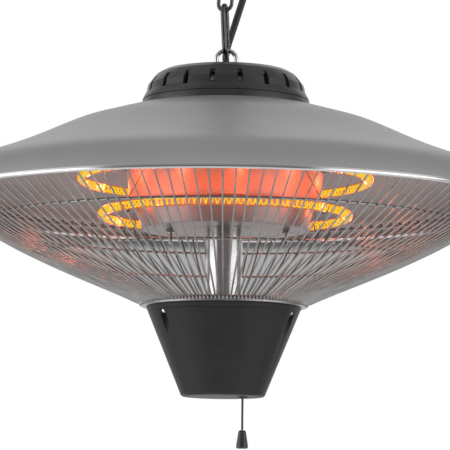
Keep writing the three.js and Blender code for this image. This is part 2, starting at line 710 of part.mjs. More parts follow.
for (let i = 0; i < guard.panels; i++) add(heater, `guard_wires_${i + 1}`, "guardWire", guardPanel(i));
const rimRing = {
  radius: guard.rimRadius - (guard.wire + guard.rimWire) / 2 - gap, drop: guard.rimDrop - guard.wire / 2,
};
add(heater, "guard_rim_ring", "guardWire", wireRing(rimRing.radius, rimRing.drop, guard.rimWire, 40, 4));
[["upper", guard.upperRadius, guard.upperDrop], ["lower", guard.lowerRadius, guard.lowerDrop]].forEach(
  ([name, radius, drop]) => {
    const ring = wireRing(radius - guardOffset / 2, drop - guardOffset, guard.ringWire, 36, 4);
    add(heater, `guard_ring_${name}`, "guardWire", ring);
  },
);
add(heater, "guard_base", "guardWire", makeGuardBase());

// Pole, cup and what is in them

const poleBottom = guardBase.drop + pole.below;
const cupTop = guardBase.drop + gap;
const cupBottom = cupTop + cup.height;

function cupProfile(inset, topDrop, floor) {
  const slope = (cup.topRadius - cup.cornerRadius) / cup.cornerDrop;
  const radiusAt = (drop) => cup.topRadius - slope * (drop - cupTop) - inset;
  return [
    [0, topDrop], [radiusAt(topDrop), topDrop],
    [cup.cornerRadius - inset, cupTop + cup.cornerDrop - floor],
    [cup.filletRadius - inset, cupTop + cup.filletDrop - floor],
    [cup.bottomRadius - inset, cupBottom - floor], [0, cupBottom - floor],
  ];
}

function makeCup() {
  const outer = turned(cupProfile(0, cupTop, 0), 36);
  const inner = turned(cupProfile(cup.wall, cupTop - overrun, cup.wall), 24);
  const bosses = cupScrewAngles.map((angle) => {
    const at = around(cup.screwCircle, angle, 0);
    const boss = disc(cup.pocketRadius + cup.pocketWall, cupTop, cup.height, 12).translate(at.x, at.y, 0);
    return shared(boss, outer);
  });
  const pockets = cupScrewAngles.map((angle) => {
    const at = around(cup.screwCircle, angle, 0);
    const top = cupTop + cup.pocketRoof;
    return disc(cup.pocketRadius, top, cup.height, 10).translate(at.x, at.y, 0);
  });
  const screwHoles = cupScrewAngles.map((angle) => {
    const at = around(cup.screwCircle, angle, 0);
    return disc(cupScrew.shankRadius + gap, cupTop - overrun, cup.pocketRoof + 2 * overrun, 8).translate(
      at.x, at.y, 0,
    );
  });
  const cordHole = disc(cupBushing.outerRadius + gap, cupBottom - 2 * cup.wall, 4 * cup.wall, 10);
  const shell = joined(cut(outer, inner), ...bosses);
  return cut(shell, ...pockets, ...screwHoles, cordHole.translate(pull.x, 0, 0));
}

function makeCupScrew(angle) {
  const headTop = cupTop + cup.pocketRoof + gap;
  const profile = [
    [0, headTop - cupScrew.shankLength], [cupScrew.shankRadius, headTop - cupScrew.shankLength],
    [cupScrew.shankRadius, headTop], [cupScrew.headRadius, headTop],
    [cupScrew.headRadius, headTop + cupScrew.headHeight / 2],
    [cupScrew.headRadius / 2, headTop + cupScrew.headHeight], [0, headTop + cupScrew.headHeight],
  ];
  const at = around(cup.screwCircle, angle, 0);
  return turned(profile, 8).translate(at.x, at.y, 0);
}

function makeBushing() {
  const { outerRadius, innerRadius, flangeRadius, flangeHeight } = cupBushing;
  const seat = cupBottom + gap;
  const profile = [
    [innerRadius, cupBottom - 2 * cup.wall], [outerRadius, cupBottom - 2 * cup.wall], [outerRadius, seat],
    [flangeRadius, seat], [flangeRadius - flangeHeight / 2, seat + flangeHeight],
    [innerRadius, seat + flangeHeight],
  ];
  return turned(profile, 10, true).translate(pull.x, 0, 0);
}

const boxTop = guardBase.drop + switchBox.drop;
const boxBottom = boxTop + switchBox.height;
const leverPivot = { x: pull.x - lever.length, drop: boxBottom + lever.pivotHeight };
const leverBottom = leverPivot.drop + lever.thickness / 2;

function makeSwitchBox() {
  const { length, width, height, middleX } = switchBox;
  const body = box(length, width, height, middleX, 0, boxTop + height / 2);
  const lugWidth = (width - lever.width) / 4;
  const lugs = [-1, 1].map((side) => {
    const y = side * (lever.width / 2 + gap + lugWidth / 2);
    const lugHeight = lever.pivotHeight + 2 * lever.pivotRadius;
    return box(4 * lever.pivotRadius, lugWidth, lugHeight, leverPivot.x, y, boxBottom + lugHeight / 2 - gap);
  });
  const bore = new THREE.CylinderGeometry(lever.pivotRadius + gap, lever.pivotRadius + gap, 2 * width, 10);
  return cut(joined(body, ...lugs), bore.translate(leverPivot.x, 0, -leverPivot.drop));
}

function makeLever() {
  const { length, width, thickness, pivotRadius } = lever;
  const arm = box(length + pivotRadius, width, thickness, pull.x - length / 2, 0, leverPivot.drop);
  const pin = new THREE.CylinderGeometry(pivotRadius, pivotRadius, switchBox.width / 2, 10);
  return joined(arm, pin.translate(leverPivot.x, 0, -leverPivot.drop));
}

const knobTop = cupBottom + pull.below;

function makePullCord() {
  const top = leverBottom + gap;
  const profile = [
    [0, top], [pull.beadRadius, top], [pull.beadRadius, top + pull.beadHeight],
    [pull.radius, top + pull.beadHeight + pull.radius], [pull.radius, knobTop - gap], [0, knobTop - gap],
  ];
  return turned(profile, 8).translate(pull.x, 0, 0);
}

function makeKnob() {
  const { topRadius, bottomRadius, height, topHeight } = knob;
  const { crown, shoulder, waist, widest, edge, edgeRadius, foot } = knobShares;
  const profile = [
    [0, knobTop], [crown * topRadius, knobTop], [topRadius, knobTop + shoulder * topHeight],
    [topRadius, knobTop + topHeight], [(topRadius + bottomRadius) / 2, knobTop + waist * height],
    [bottomRadius, knobTop + widest * height], [edgeRadius * bottomRadius, knobTop + edge * height],
    [foot * bottomRadius, knobTop + height], [0, knobTop + height],
  ];
  return turned(profile, 12).translate(pull.x, 0, 0);
}

function makeInnerLead() {
  const start = terminal.middleX + terminal.length / 2 + gap;
  const drop = hubTop - terminal.height / 2;
  const side = -terminal.width / 3;
  const clear = -(eyeBolt.shankRadius + 2.5 * innerLead.radius);
  const bend = [
    [start, side, drop], [start + innerLead.straight, side, drop], [start / 3, clear, drop],
    [innerLead.x / 2, clear, drop], [innerLead.x, clear / 2, drop + innerLead.radius / 2],
    [innerLead.x, 0, hubTop - innerLead.radius], [innerLead.x, 0, hubBottom],
  ];
  const down = [[innerLead.x, 0, poleTop + pole.radius], [innerLead.x, 0, boxTop - gap]];
  return tube([...smooth(bend.map(place), 12), ...down.map(place)], innerLead.radius, 6);
}

add(heater, "pole", "chrome",
  disc(pole.radius, poleTop, poleBottom - poleTop, 26, pole.radius - pole.wall));
add(heater, "cup", "blackPlastic", makeCup());
cupScrewAngles.forEach((angle, i) => add(heater, `cup_screw_${i + 1}`, "chrome", makeCupScrew(angle)));
add(heater, "cord_bushing", "blackPlastic", makeBushing());
add(heater, "switch_box", "blackPlastic", makeSwitchBox());
add(heater, "switch_lever", "brass", makeLever());
add(heater, "pull_cord", "cordRubber", makePullCord());
add(heater, "pull_knob", "blackPlastic", makeKnob());
add(heater, "inner_lead", "cordRubber", makeInnerLead());

// Mains cord: from the gland up past the hook and the chain to a coil tied under the ceiling plate.
// Its route is chosen by hand; each point is [x, y, drop below the ceiling].

const cordRoute = [
  [-0.3, 20, 175.8], [0.1, 20, 168], [2.9, 19.5, 159], [5.8, 18.4, 151], [9.8, 17, 140], [13.9, 15.4, 127],
  [18.6, 13.5, 112], [22.6, 11.6, 98], [26.6, 9, 84], [30.8, 5.6, 70], [35.4, 2, 56], [40, -0.4, 43.5],
  [44.3, 0, 33], [46.6, 4, 25.8], [46.6, 9.5, 21.4], [45.1, 14.3, 19.4], [42.6, 19.6, 18.8],
];
const cordJoins = [133, 94.5, 57]; // the drops where one free stretch ends and the next begins
const coilStart = degrees(24.7); // the angle where the cord enters the coil
const coilLower = 18.8; // the drop of the lower layer's middle

function makeCordStretches() {
  const per = 4; // steps between two points of the route
  const line = smooth(cordRoute.map(place), per * (cordRoute.length - 1));
  const joins = cordJoins.map((drop) => line.findIndex((p) => -p.z < drop));
  const ends = [0, ...joins, line.length - 1];
  return ends.slice(1).map((end, i) => {
    const whole = line.slice(ends[i], end + 1);
    const points = whole.filter((_, k) => k % 2 === 0 || k === whole.length - 1);
    const first = points[0].clone().lerp(points[1], gap / 2 / points[0].distanceTo(points[1]));
    const n = points.length - 1;
    const last = points[n].clone().lerp(points[n - 1], gap / 2 / points[n].distanceTo(points[n - 1]));
    return tube([first, ...points.slice(1, n), last], cord.radius, 8);
  });
}

// Two layers: in on the lower one, up in half a turn, and out again on the upper one.
const coilSteps = 20;
const outerTurn = Math.hypot(cordRoute.at(-1)[0], cordRoute.at(-1)[1]);

function coilLine() {
  const climbFrom = coilSteps * cord.turnsPerLayer;
  const climbSteps = coilSteps / 2;
  const total = Math.round(2 * climbFrom + climbSteps);
  return Array.from({ length: total + 1 }, (_, i) => {
    const climb = Math.min(Math.max((i - climbFrom) / climbSteps, 0), 1);
    const inward = Math.min(i, climbFrom);
    const outward = Math.max(i - climbFrom - climbSteps, 0);
    const spiral = outerTurn - (cord.pitch * (inward - outward)) / coilSteps;
    const radius = spiral - cord.bulge * Math.sin(Math.PI * climb);
    const lift = (cord.pitch * (1 - Math.cos(Math.PI * climb))) / 2;
    return around(radius, coilStart + (2 * Math.PI * i) / coilSteps, coilLower - lift);
  });
}

function leastSelfGap(line, radius, skip) {
  let least = Infinity;
  const nearest = new THREE.Vector3();
  const piece = new THREE.Line3();
  line.forEach((p, i) => {
    for (let k = i + skip; k < line.length - 1; k++) {
      piece.set(line[k], line[k + 1]).closestPointToPoint(p, true, nearest);
      least = Math.min(least, nearest.distanceTo(p));
    }
  });
  return least - 2 * radius;
}

const coil = coilLine();
coil[0].lerp(coil[1], cord.joinGap / coil[0].distanceTo(coil[1]));

// The last of the cord leaves the coil, bends down and hangs with the plug on its end.
function tailLine() {
  const bendSteps = 6;
  const end = coil.at(-1);
  const way = end.clone().sub(coil.at(-2)).setZ(0).normalize();
  way.addScaledVector(end.clone().setZ(0).normalize(), tailOutwardShare).normalize();
  const from = end.clone().addScaledVector(way, cord.radius);
  const bend = Array.from({ length: bendSteps + 1 }, (_, i) => {
    const angle = (Math.PI * i) / 2 / bendSteps;
    const p = from.clone().addScaledVector(way, cord.tailBend * Math.sin(angle));
    return p.setZ(from.z - cord.tailBend * (1 - Math.cos(angle)));
  });
  const last = bend.at(-1).clone();
  return [...bend, last.setZ(last.z - 2 * cord.radius)];
}

const tail = tailLine();
const plugAt = tail.at(-1);
const plugTop = -plugAt.z + gap;

function makePlug() {
  const { radius, length, reliefRadius, reliefLength, pinRadius, pinLength } = plug;
  const { reliefTop, shoulder, shoulderHeight, pinsApart } = plugShares;
  const bodyTop = plugTop + reliefLength;
  const profile = [
    [0, plugTop], [reliefTop * reliefRadius, plugTop], [reliefRadius, bodyTop],
    [shoulder * radius, bodyTop + gap], [radius, bodyTop + shoulderHeight * length],
    [radius, bodyTop + length], [0, bodyTop + length],
  ];
  const pins = [-1, 1].map((side) =>
    disc(pinRadius, bodyTop + length - gap, pinLength + gap, 8).translate(side * pinsApart * radius, 0, 0),
  );
  return joined(turned(profile, 16), ...pins).translate(plugAt.x, plugAt.y, 0);
}

// One strap: a ring on the eye's stem, and on each side an arm to a band round the coil.
function makeTie() {
  const { width, thickness, clearance } = tie;
  const inner = outerTurn - cord.turnsPerLayer * cord.pitch - cord.radius - clearance - cord.bulge / 2;
  const outer = outerTurn + cord.radius + clearance;
  const top = coilLower - cord.pitch - cord.radius - clearance / 2;
  const bottom = coilLower + cord.radius + clearance;
  const drop = (top + bottom) / 2;
  const parts = [-1, 1].map((side) => {
    const middle = (side * (inner + outer)) / 2;
    const whole = box(outer - inner + 2 * thickness, width, bottom - top + 2 * thickness, middle, 0, drop);
    const band = cut(whole, box(outer - inner, 2 * width, bottom - top, middle, 0, drop));
    const from = eye.stemRadius + 2 * gap;
    const length = inner - from;
    return joined(band, box(length, width / 2, thickness, side * (from + length / 2), 0, drop));
  });
  const ring = disc(tie.ringRadius, drop - tie.ringHeight / 2, tie.ringHeight, 12);
  const bore = disc(eye.stemRadius + gap, drop - tie.ringHeight, 2 * tie.ringHeight, 12);
  return cut(joined(ring, ...parts), bore).rotateZ(degrees(tie.angle));
}

makeCordStretches().forEach((stretch, i) => add(patioHeater, `cord_stretch_${i + 1}`, "cordRubber", stretch));
add(patioHeater, "cord_coil", "cordRubber", tube([...coil, ...tail], cord.radius, 6));
add(patioHeater, "cord_plug", "blackPlastic", makePlug());
add(patioHeater, "coil_tie", "blackPlastic", makeTie());

const coilGap = leastSelfGap([...coil, ...tail], cord.radius, coilSteps / 2);
const filamentGap = leastSelfGap(filamentLine(lowerLamp), filament.wire / 2, 6);
console.log(`least gap in the cord coil ${coilGap.toFixed(2)}, in a filament ${filamentGap.toFixed(2)}`);

export default patioHeater;
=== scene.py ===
import re
from math import atan2, cos, hypot, pi, radians, sin, sqrt

import bmesh
import bpy
from mathutils import Matrix, Vector


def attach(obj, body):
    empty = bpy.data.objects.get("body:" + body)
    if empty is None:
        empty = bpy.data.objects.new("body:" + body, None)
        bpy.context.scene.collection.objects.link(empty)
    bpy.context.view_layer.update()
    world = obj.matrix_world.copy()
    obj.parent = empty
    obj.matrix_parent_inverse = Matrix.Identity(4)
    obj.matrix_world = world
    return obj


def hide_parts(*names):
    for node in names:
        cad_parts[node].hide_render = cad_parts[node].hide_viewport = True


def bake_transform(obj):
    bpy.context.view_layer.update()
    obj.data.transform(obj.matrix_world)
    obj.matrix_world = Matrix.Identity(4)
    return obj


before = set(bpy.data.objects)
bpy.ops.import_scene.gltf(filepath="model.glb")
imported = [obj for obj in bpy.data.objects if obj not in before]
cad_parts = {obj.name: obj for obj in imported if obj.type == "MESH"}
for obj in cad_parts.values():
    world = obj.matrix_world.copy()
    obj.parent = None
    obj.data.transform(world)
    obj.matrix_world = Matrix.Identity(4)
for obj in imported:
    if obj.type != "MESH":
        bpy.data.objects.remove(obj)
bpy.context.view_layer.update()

# Numbers are millimetres: x, y and the drop below the ceiling plate's top face. Points are metres.
heaterDrop = 190.4  # the drop that the heater's own drops are counted from
hookTurn = radians(-12)


def mm(x, y, drop):
    return Vector((x, y, -drop)) * 0.001


def around(radius, angle, drop):
    return mm(radius * cos(angle), radius * sin(angle), drop)


def below(profile):
    return [(radius, drop + heaterDrop) for radius, drop in profile]


# Shaping tools


def softened(profile, amount, closed=False, steps=3):
    count = len(profile)
    made = []
    for i, (radius, drop) in enumerate(profile):
        if not closed and i in (0, count - 1):
            made.append((radius, drop))
            continue
        here = Vector((radius, drop))
        before = Vector(profile[i - 1]) - here
        after = Vector(profile[(i + 1) % count]) - here
        reach = min(amount, 0.45 * before.length, 0.45 * after.length)
        start = here + before.normalized() * reach
        end = here + after.normalized() * reach
        for k in range(steps + 1):
            t = k / steps
            made.append(tuple((1 - t) ** 2 * start + 2 * t * (1 - t) * here + t**2 * end))
    return made


def smoothProfile(points, per=6):
    return [tuple(p)[:2] for p in smoothLine([Vector((r, d, 0)) for r, d in points], per)]


def turn(bm, profile, sides=64, closed=False, middle=(0, 0)):
    known = set(bm.verts)
    chain = [bm.verts.new(mm(radius, 0, drop)) for radius, drop in profile]
    edges = [bm.edges.new(pair) for pair in zip(chain, chain[1:])]
    if closed:
        edges.append(bm.edges.new((chain[-1], chain[0])))
    bmesh.ops.spin(
        bm, geom=chain + edges, cent=(0, 0, 0), axis=(0, 0, 1), angle=2 * pi, steps=sides, use_merge=True
    )
    fresh = [v for v in bm.verts if v not in known]
    bmesh.ops.remove_doubles(bm, verts=fresh, dist=1e-6)
    fresh = [v for v in bm.verts if v not in known]
    bmesh.ops.recalc_face_normals(bm, faces=list({f for v in fresh for f in v.link_faces}))
    bmesh.ops.translate(bm, verts=fresh, vec=mm(*middle, 0))
    return fresh


def swivel(bm, verts, angle):
    bmesh.ops.rotate(bm, verts=verts, cent=(0, 0, 0), matrix=Matrix.Rotation(angle, 3, "Z"))


def block(bm, size, middle, soften=0.0, angle=0.0):
    made = bmesh.ops.create_cube(bm, size=0.001)["verts"]
    bmesh.ops.scale(bm, verts=made, vec=size)
    if soften:
        edges = list({e for v in made for e in v.link_edges})
        rounded = bmesh.ops.bevel(
            bm, geom=edges, offset=soften * 0.001, segments=2, affect="EDGES", profile=0.5, material=-1
        )
        made = rounded["verts"]
    bmesh.ops.translate(bm, verts=made, vec=mm(*middle))
    if angle:
        swivel(bm, made, angle)
    return made


def spun(name, profile, sides, soften=0.0, closed=False, middle=(0, 0)):
    # a round piece of the heater: closed where the profile is a ring's section
    bm = bmesh.new()
    profile = softened(profile, soften, closed) if soften else profile
    turn(bm, below(profile), sides, closed, middle)
    return place(name, bm)


def rod(bm, radius, top, bottom, sides, middle=(0, 0)):
    # a round bar in the heater, to cut a hole with
    turn(bm, below([(0, top), (radius, top), (radius, bottom), (0, bottom)]), sides, middle=middle)


def place(name, bm):
    mesh = bpy.data.meshes.new(name)
    bm.to_mesh(mesh)
    bm.free()
    piece = bpy.data.objects.new(name, mesh)
    bpy.context.collection.objects.link(piece)
    return piece


def settle(piece):
    graph = bpy.context.evaluated_depsgraph_get()
    graph.update()
    mesh = bpy.data.meshes.new_from_object(piece.evaluated_get(graph))
    piece.modifiers.clear()
    if piece.type == "MESH":
        piece.data = mesh
        return piece
    name = piece.name
    bpy.data.objects.remove(piece)
    made = bpy.data.objects.new(name, mesh)
    bpy.context.collection.objects.link(made)
    return made


def carve(piece, cutter):
    modifier = piece.modifiers.new("cut", "BOOLEAN")
    modifier.operation = "DIFFERENCE"
    modifier.solver = "EXACT"
    modifier.object = cutter
    settle(piece)
    bpy.data.objects.remove(cutter)


def carveGrip(piece, count, size, radius, drop, middle):
    # upright grooves all round a grip
    bm = bmesh.new()
    for i in range(count):
        made = block(bm, size, (0, 0, 0), 0, pi / 4)
        bmesh.ops.translate(bm, verts=made, vec=mm(radius, 0, drop))
        swivel(bm, made, 2 * pi * i / count)
        bmesh.ops.translate(bm, verts=made, vec=mm(*middle, 0))
    carve(piece, place("gripCutter", bm))


def easeEdges(piece):
    bevel = piece.modifiers.new("soft", "BEVEL")
    bevel.width, bevel.segments = 0.0003, 2
    bevel.limit_method, bevel.angle_limit = "ANGLE", radians(50)
    settle(piece)


def rounded(line, radius):
    # round ends: the last points draw the wire in to nothing
    inward = (line[1] - line[0]).normalized() * radius
    outward = (line[-1] - line[-2]).normalized() * radius
    steps = (0.15, 0.55, 1.0)
    lead = [(line[0] + inward * (1 - cos(a)), sin(a)) for a in steps]
    tail = [(line[-1] - outward * (1 - cos(a)), sin(a)) for a in reversed(steps)]
    body = [line[0] + inward, *line[1:-1], line[-1] - outward]
    return [*lead, *((p, 1.0) for p in body), *tail]


def wire(name, lines, radius, resolution=2, closed=False, roundEnds=False):
    data = bpy.data.curves.new(name, "CURVE")
    data.dimensions = "3D"
    data.bevel_depth = radius * 0.001
    data.bevel_resolution = resolution
    data.use_fill_caps = not closed
    for line in lines:
        points = rounded(line, radius * 0.001) if roundEnds else [(p, 1.0) for p in line]
        spline = data.splines.new("POLY")
        spline.points.add(len(points) - 1)
        for point, (at, thick) in zip(spline.points, points):
            point.co = (*at, 1)
            point.radius = thick
        spline.use_cyclic_u = closed
    curve = bpy.data.objects.new(name, data)
    bpy.context.collection.objects.link(curve)
    return settle(curve)


def smoothLine(points, per):
    # a centripetal curve through the points, with per steps between two of them
    ends = [points[0] * 2 - points[1], *points, points[-1] * 2 - points[-2]]
    made = []
    for p0, p1, p2, p3 in zip(ends, ends[1:], ends[2:], ends[3:]):
        t1 = max((p1 - p0).length ** 0.5, 1e-6)
        t2 = t1 + max((p2 - p1).length ** 0.5, 1e-6)
        t3 = t2 + max((p3 - p2).length ** 0.5, 1e-6)
        for k in range(per):
            t = t1 + (t2 - t1) * k / per
            a1 = p0 * ((t1 - t) / t1) + p1 * (t / t1)
            a2 = p1 * ((t2 - t) / (t2 - t1)) + p2 * ((t - t1) / (t2 - t1))
            a3 = p2 * ((t3 - t) / (t3 - t2)) + p3 * ((t - t2) / (t3 - t2))
            b1 = a1 * ((t2 - t) / t2) + a2 * (t / t2)
            b2 = a2 * ((t3 - t) / (t3 - t1)) + a3 * ((t - t1) / (t3 - t1))
            made.append(b1 * ((t2 - t) / (t2 - t1)) + b2 * ((t - t1) / (t2 - t1)))
    return [*made, points[-1].copy()]


def lengthOf(line):
    return sum((b - a).length for a, b in zip(line, line[1:]))


def joinInto(bm, piece):
    bm.from_mesh(piece.data)
    bpy.data.objects.remove(piece)


# Material tools


def put(tree, kind, links=None, **settings):
    node = tree.nodes.new("ShaderNode" + kind)
    for key, value in settings.items():
        setattr(node, key, value)
    for key, value in (links or {}).items():
        if isinstance(value, bpy.types.NodeSocket):
            tree.links.new(value, node.inputs[key])
        else:
            node.inputs[key].default_value = value
    return node


def emptyTree(holder):
    holder.use_nodes = True
    holder.node_tree.nodes.clear()
    return holder.node_tree


def grey(value):
    return (value, value, value, 1)


def ramp(tree, source, stops):
    node = put(tree, "ValToRGB", {"Fac": source})
    while len(node.color_ramp.elements) < len(stops):
        node.color_ramp.elements.new(0.5)
    for element, (at, colour) in zip(node.color_ramp.elements, stops):
        element.position = at
        element.color = colour if len(colour) == 4 else (*colour, 1)
    return node.outputs["Color"]


def sums(tree, kind, *values):
    return put(tree, "Math", dict(enumerate(values)), operation=kind).outputs[0]


def remap(tree, value, low=0.0, high=1.0, least=0.0, most=1.0):
    links = {"Value": value, "From Min": low, "From Max": high, "To Min": least, "To Max": most}
    return put(tree, "MapRange", links).outputs["Result"]


def tint(tree, share, first, second, kind="MIX"):
    links = {0: share, 6: first, 7: second}
    return put(tree, "Mix", links, data_type="RGBA", blend_type=kind).outputs[2]


def noise(tree, where, scale, detail):
    return put(tree, "TexNoise", {"Vector": where, "Scale": scale, "Detail": detail}).outputs["Fac"]


def along(tree, where, axis):
    return put(tree, "SeparateXYZ", {"Vector": where}).outputs[axis]


def rampStops(stops):
    first, last = stops[0][0], stops[-1][0]
    return [((at - first) / (last - first), colour) for at, colour in stops]


def byDrop(tree, where, stops):
    # a colour by the drop in the heater
    low, high = (-(stop[0] + heaterDrop) * 0.001 for stop in (stops[0], stops[-1]))
    return ramp(tree, remap(tree, along(tree, where, "Z"), low, high), rampStops(stops))


paintedCapShade = [(36, grey(0.7)), (50, grey(0.82)), (74, grey(1))]  # painted shade: the paint is darker near the cap, standing in for the cap's shadow and its reflection
beadLook = {"edge": 0.6, "depth": 8, "tone": 0.6, "rough": 0.16}


def finish(
    name, dark, light, rough, grain, stretch=(1, 1, 1), lumps=60, bump=0.05, lit=(), beadDrop=0, metal=0.0,
    shine=0.5,
):
    made = bpy.data.materials.new(name)
    tree = emptyTree(made)
    where = put(tree, "TexCoord").outputs["Object"]
    stretched = put(tree, "Mapping", {"Vector": where, "Scale": stretch}).outputs["Vector"]
    fine, broad = noise(tree, stretched, grain, 4.0), noise(tree, where, lumps, 3.0)
    half = sums(tree, "MULTIPLY", sums(tree, "ADD", fine, broad), 0.5)
    colour = ramp(tree, half, [(0.35, dark), (0.65, light)])
    links = {
        "Base Color": colour, "Roughness": remap(tree, half, 0.3, 0.7, *rough), "Metallic": metal,
        "Specular IOR Level": shine,
        "Normal": put(tree, "Bump", {"Height": fine, "Strength": bump, "Distance": 0.0004}).outputs["Normal"],
    }
    # painted glow: emission by drop that stands in for the lamps' light falling on this surface
    if lit:
        links["Emission Color"] = byDrop(tree, where, lit)
        links["Emission Strength"] = remap(tree, broad, 0.3, 0.7, 0.85, 1.1)
    if beadDrop:
        # paint down to the bead, darkened near the cap by painted shade and reflection, and bare metal on the
        # bead
        colour = tint(tree, 1.0, colour, byDrop(tree, where, paintedCapShade), "MULTIPLY")
        full, last = beadDrop + beadLook["edge"], beadDrop + beadLook["depth"]
        bare = byDrop(tree, where, [(beadDrop, grey(0)), (full, grey(1)), (last, grey(1))])
        links["Base Color"] = tint(tree, bare, colour, grey(beadLook["tone"]))
        links["Metallic"] = remap(tree, bare, least=metal)
        links["Roughness"] = remap(tree, bare, least=rough[0], most=beadLook["rough"])
    surface = put(tree, "BsdfPrincipled", links)
    put(tree, "OutputMaterial", {"Surface": surface.outputs["BSDF"]})
    return made


def glow(name, colours, strength, scale, seeThrough=0.0):
    made = bpy.data.materials.new(name)
    tree = emptyTree(made)
    where = put(tree, "TexCoord").outputs["Object"]
    colour = ramp(tree, noise(tree, where, scale, 2.0), [(0.35, colours[0]), (0.65, colours[1])])
    light = put(tree, "Emission", {"Color": colour, "Strength": strength}).outputs[0]
    if seeThrough:
        clear = put(tree, "BsdfTransparent", {"Color": grey(seeThrough)}).outputs[0]
        gloss = put(tree, "BsdfGlossy", {"Color": grey(0.4), "Roughness": 0.08}).outputs[0]
        edge = put(tree, "Fresnel", {"IOR": 1.45}).outputs[0]
        glass = put(tree, "MixShader", {0: edge, 1: clear, 2: gloss}).outputs[0]
        light = put(tree, "AddShader", {0: glass, 1: light}).outputs[0]
    put(tree, "OutputMaterial", {"Surface": light})
    return made


# painted glow on the reflector drums by drop: emission standing in for the lamps' light and its reflection in
# them, though they are no lamp
paintedDrumGlow = [
    (40, (0.1, 0.012, 0.003)), (96, (0.32, 0.05, 0.025)), (110, (0.5, 0.08, 0.04)),
    (117, (0.78, 0.085, 0.02)), (127, (0.78, 0.085, 0.02)), (134, (0.42, 0.05, 0.015)),
]
paintedLowerGlow = [(135, (0.10, 0.012, 0.006)), (150, (0.05, 0.004, 0.002)), (160, (0, 0, 0))]
zincSteel = finish(
    "zincSteel", (0.065, 0.065, 0.067), (0.16, 0.16, 0.163), (0.25, 0.42), 2500, lumps=200, bump=0.08,
    metal=1.0,
)
brightSteel = finish(
    "brightSteel", (0.56, 0.56, 0.565), (0.66, 0.66, 0.665), (0.12, 0.2), 1500, (1, 1, 0.1), bump=0.02,
    metal=1.0,
)
shadePaint = finish(
    "shadePaint", (0.225, 0.223, 0.22), (0.255, 0.253, 0.25), (0.40, 0.46), 3500, lumps=9, bump=0.03,
    beadDrop=132.2, metal=0.05, shine=0.25
)
blackPlastic = finish(
    "blackPlastic", (0.016, 0.016, 0.0162), (0.024, 0.024, 0.0243), (0.3, 0.4), 3000, bump=0.1
)
cupPlastic = finish(
    "cupPlastic", (0.014, 0.014, 0.0142), (0.019, 0.019, 0.0193), (0.44, 0.54), 3000, bump=0.1, shine=0.16
)
cordRubber = finish("cordRubber", (0.016, 0.016, 0.016), (0.03, 0.03, 0.03), (0.45, 0.6), 1800, bump=0.2)
drumLook = {
    "rough": (0.3, 0.42), "grain": 1600, "stretch": (1, 1, 0.06), "lumps": 25, "bump": 0.06, "metal": 0.7,
}
# both reflector finishes carry painted glow: the lamps' light and reflection given as emission
reflector = finish("reflector", (0.19, 0.188, 0.186), (0.25, 0.248, 0.245), lit=paintedLowerGlow, **drumLook)
litReflector = finish("litReflector", (0.23, 0.21, 0.2), (0.29, 0.27, 0.26), lit=paintedDrumGlow, **drumLook)
guardWire = finish(
    "guardWire", (0.22, 0.218, 0.216), (0.35, 0.347, 0.344), (0.3, 0.42), 1600, lumps=120, bump=0.06,
    metal=0.9,
)
ceramic = finish("ceramic", (0.55, 0.52, 0.46), (0.68, 0.65, 0.58), (0.6, 0.75), 1200, bump=0.2)
brass = finish("brass", (0.42, 0.29, 0.10), (0.56, 0.40, 0.17), (0.25, 0.4), 1500, bump=0.06, metal=1.0)
braidedCord = finish(
    "braidedCord", (0.03, 0.03, 0.03), (0.06, 0.06, 0.06), (0.6, 0.75), 2200, (1, 1, 0.5), bump=0.5,
)
lampGlass = glow("lampGlass", [(1.0, 0.17, 0.06), (1.0, 0.24, 0.09)], 0.26, 60, seeThrough=0.8)
hotFilament = glow("hotFilament", [(1.0, 0.66, 0.0), (1.0, 0.82, 0.005)], 1.0, 300)


def dress(piece, look, node=None, angle=35):
    # Without a node, the piece replaces the one of its own name, if there is one. Blender may have
    # numbered its name.
    piece.data.materials.clear()
    piece.data.materials.append(look)
    piece.data.shade_smooth()
    piece.data.set_sharp_from_angle(angle=radians(angle))
    node = node or re.sub(r"([A-Z]|\d+)", r"_\1", piece.name.split(".")[0]).lower()
    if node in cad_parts:
        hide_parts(node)


def give(piece, look, body="heater", node=None, angle=35):
    dress(piece, look, node, angle)
    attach(piece, body)
    return piece


def repaint(look, *nodes):
    for node in nodes:
        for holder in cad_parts[node].material_slots:
            holder.material = look


print("tools and finishes made")

# Camera: a little below the heater, with a very long lens

view = {"place": (0.0004, -2.82, -0.67616), "pitch": 6.7355, "roll": 0.6, "focalPixels": 2847.7}
photoSide = 450  # pixels
sensor = 36

camera = bpy.data.objects.new("camera", bpy.data.cameras.new("camera"))
camera.data.lens = view["focalPixels"] / photoSide * sensor
camera.data.sensor_width = sensor
camera.data.clip_end = 20
bpy.context.collection.objects.link(camera)
tilt = Matrix.Rotation(radians(90 + view["pitch"]), 4, "X")
camera.matrix_world = Matrix.Translation(view["place"]) @ tilt @ Matrix.Rotation(radians(view["roll"]), 4, "Z")
bpy.context.scene.camera = camera

# Mains cord: four free stretches past the hook and the chain, then the coil under the ceiling plate

mainsCord = {
    "radius": 3.5, "joins": (133, 94.5, 57), "pitch": 7.65, "turnsPerLayer": 2.84, "bulge": 3.2,
    "tailBend": 17,
    "startAngle": 24.7, "lowerDrop": 18.8, "tailOutward": 0.35, "tailDrop": 0.0035, "bendReach": 0.012,
    "route": [
        (-0.3, 20, 175.8), (-0.6, 20, 168), (1.3, 19.5, 159), (3.7, 18.4, 151), (7.3, 17, 140),
        (11.4, 15.4, 127), (16.1, 13.5, 112), (20.2, 11.6, 98), (24.4, 9, 84), (29, 5.6, 70), (34, 2, 56),
        (39.2, -0.4, 43.5), (44, 0, 33), (46.6, 4, 25.8), (46.6, 9.5, 21.4), (45.1, 14.3, 19.4),
        (42.6, 19.6, 18.8),
    ],
}
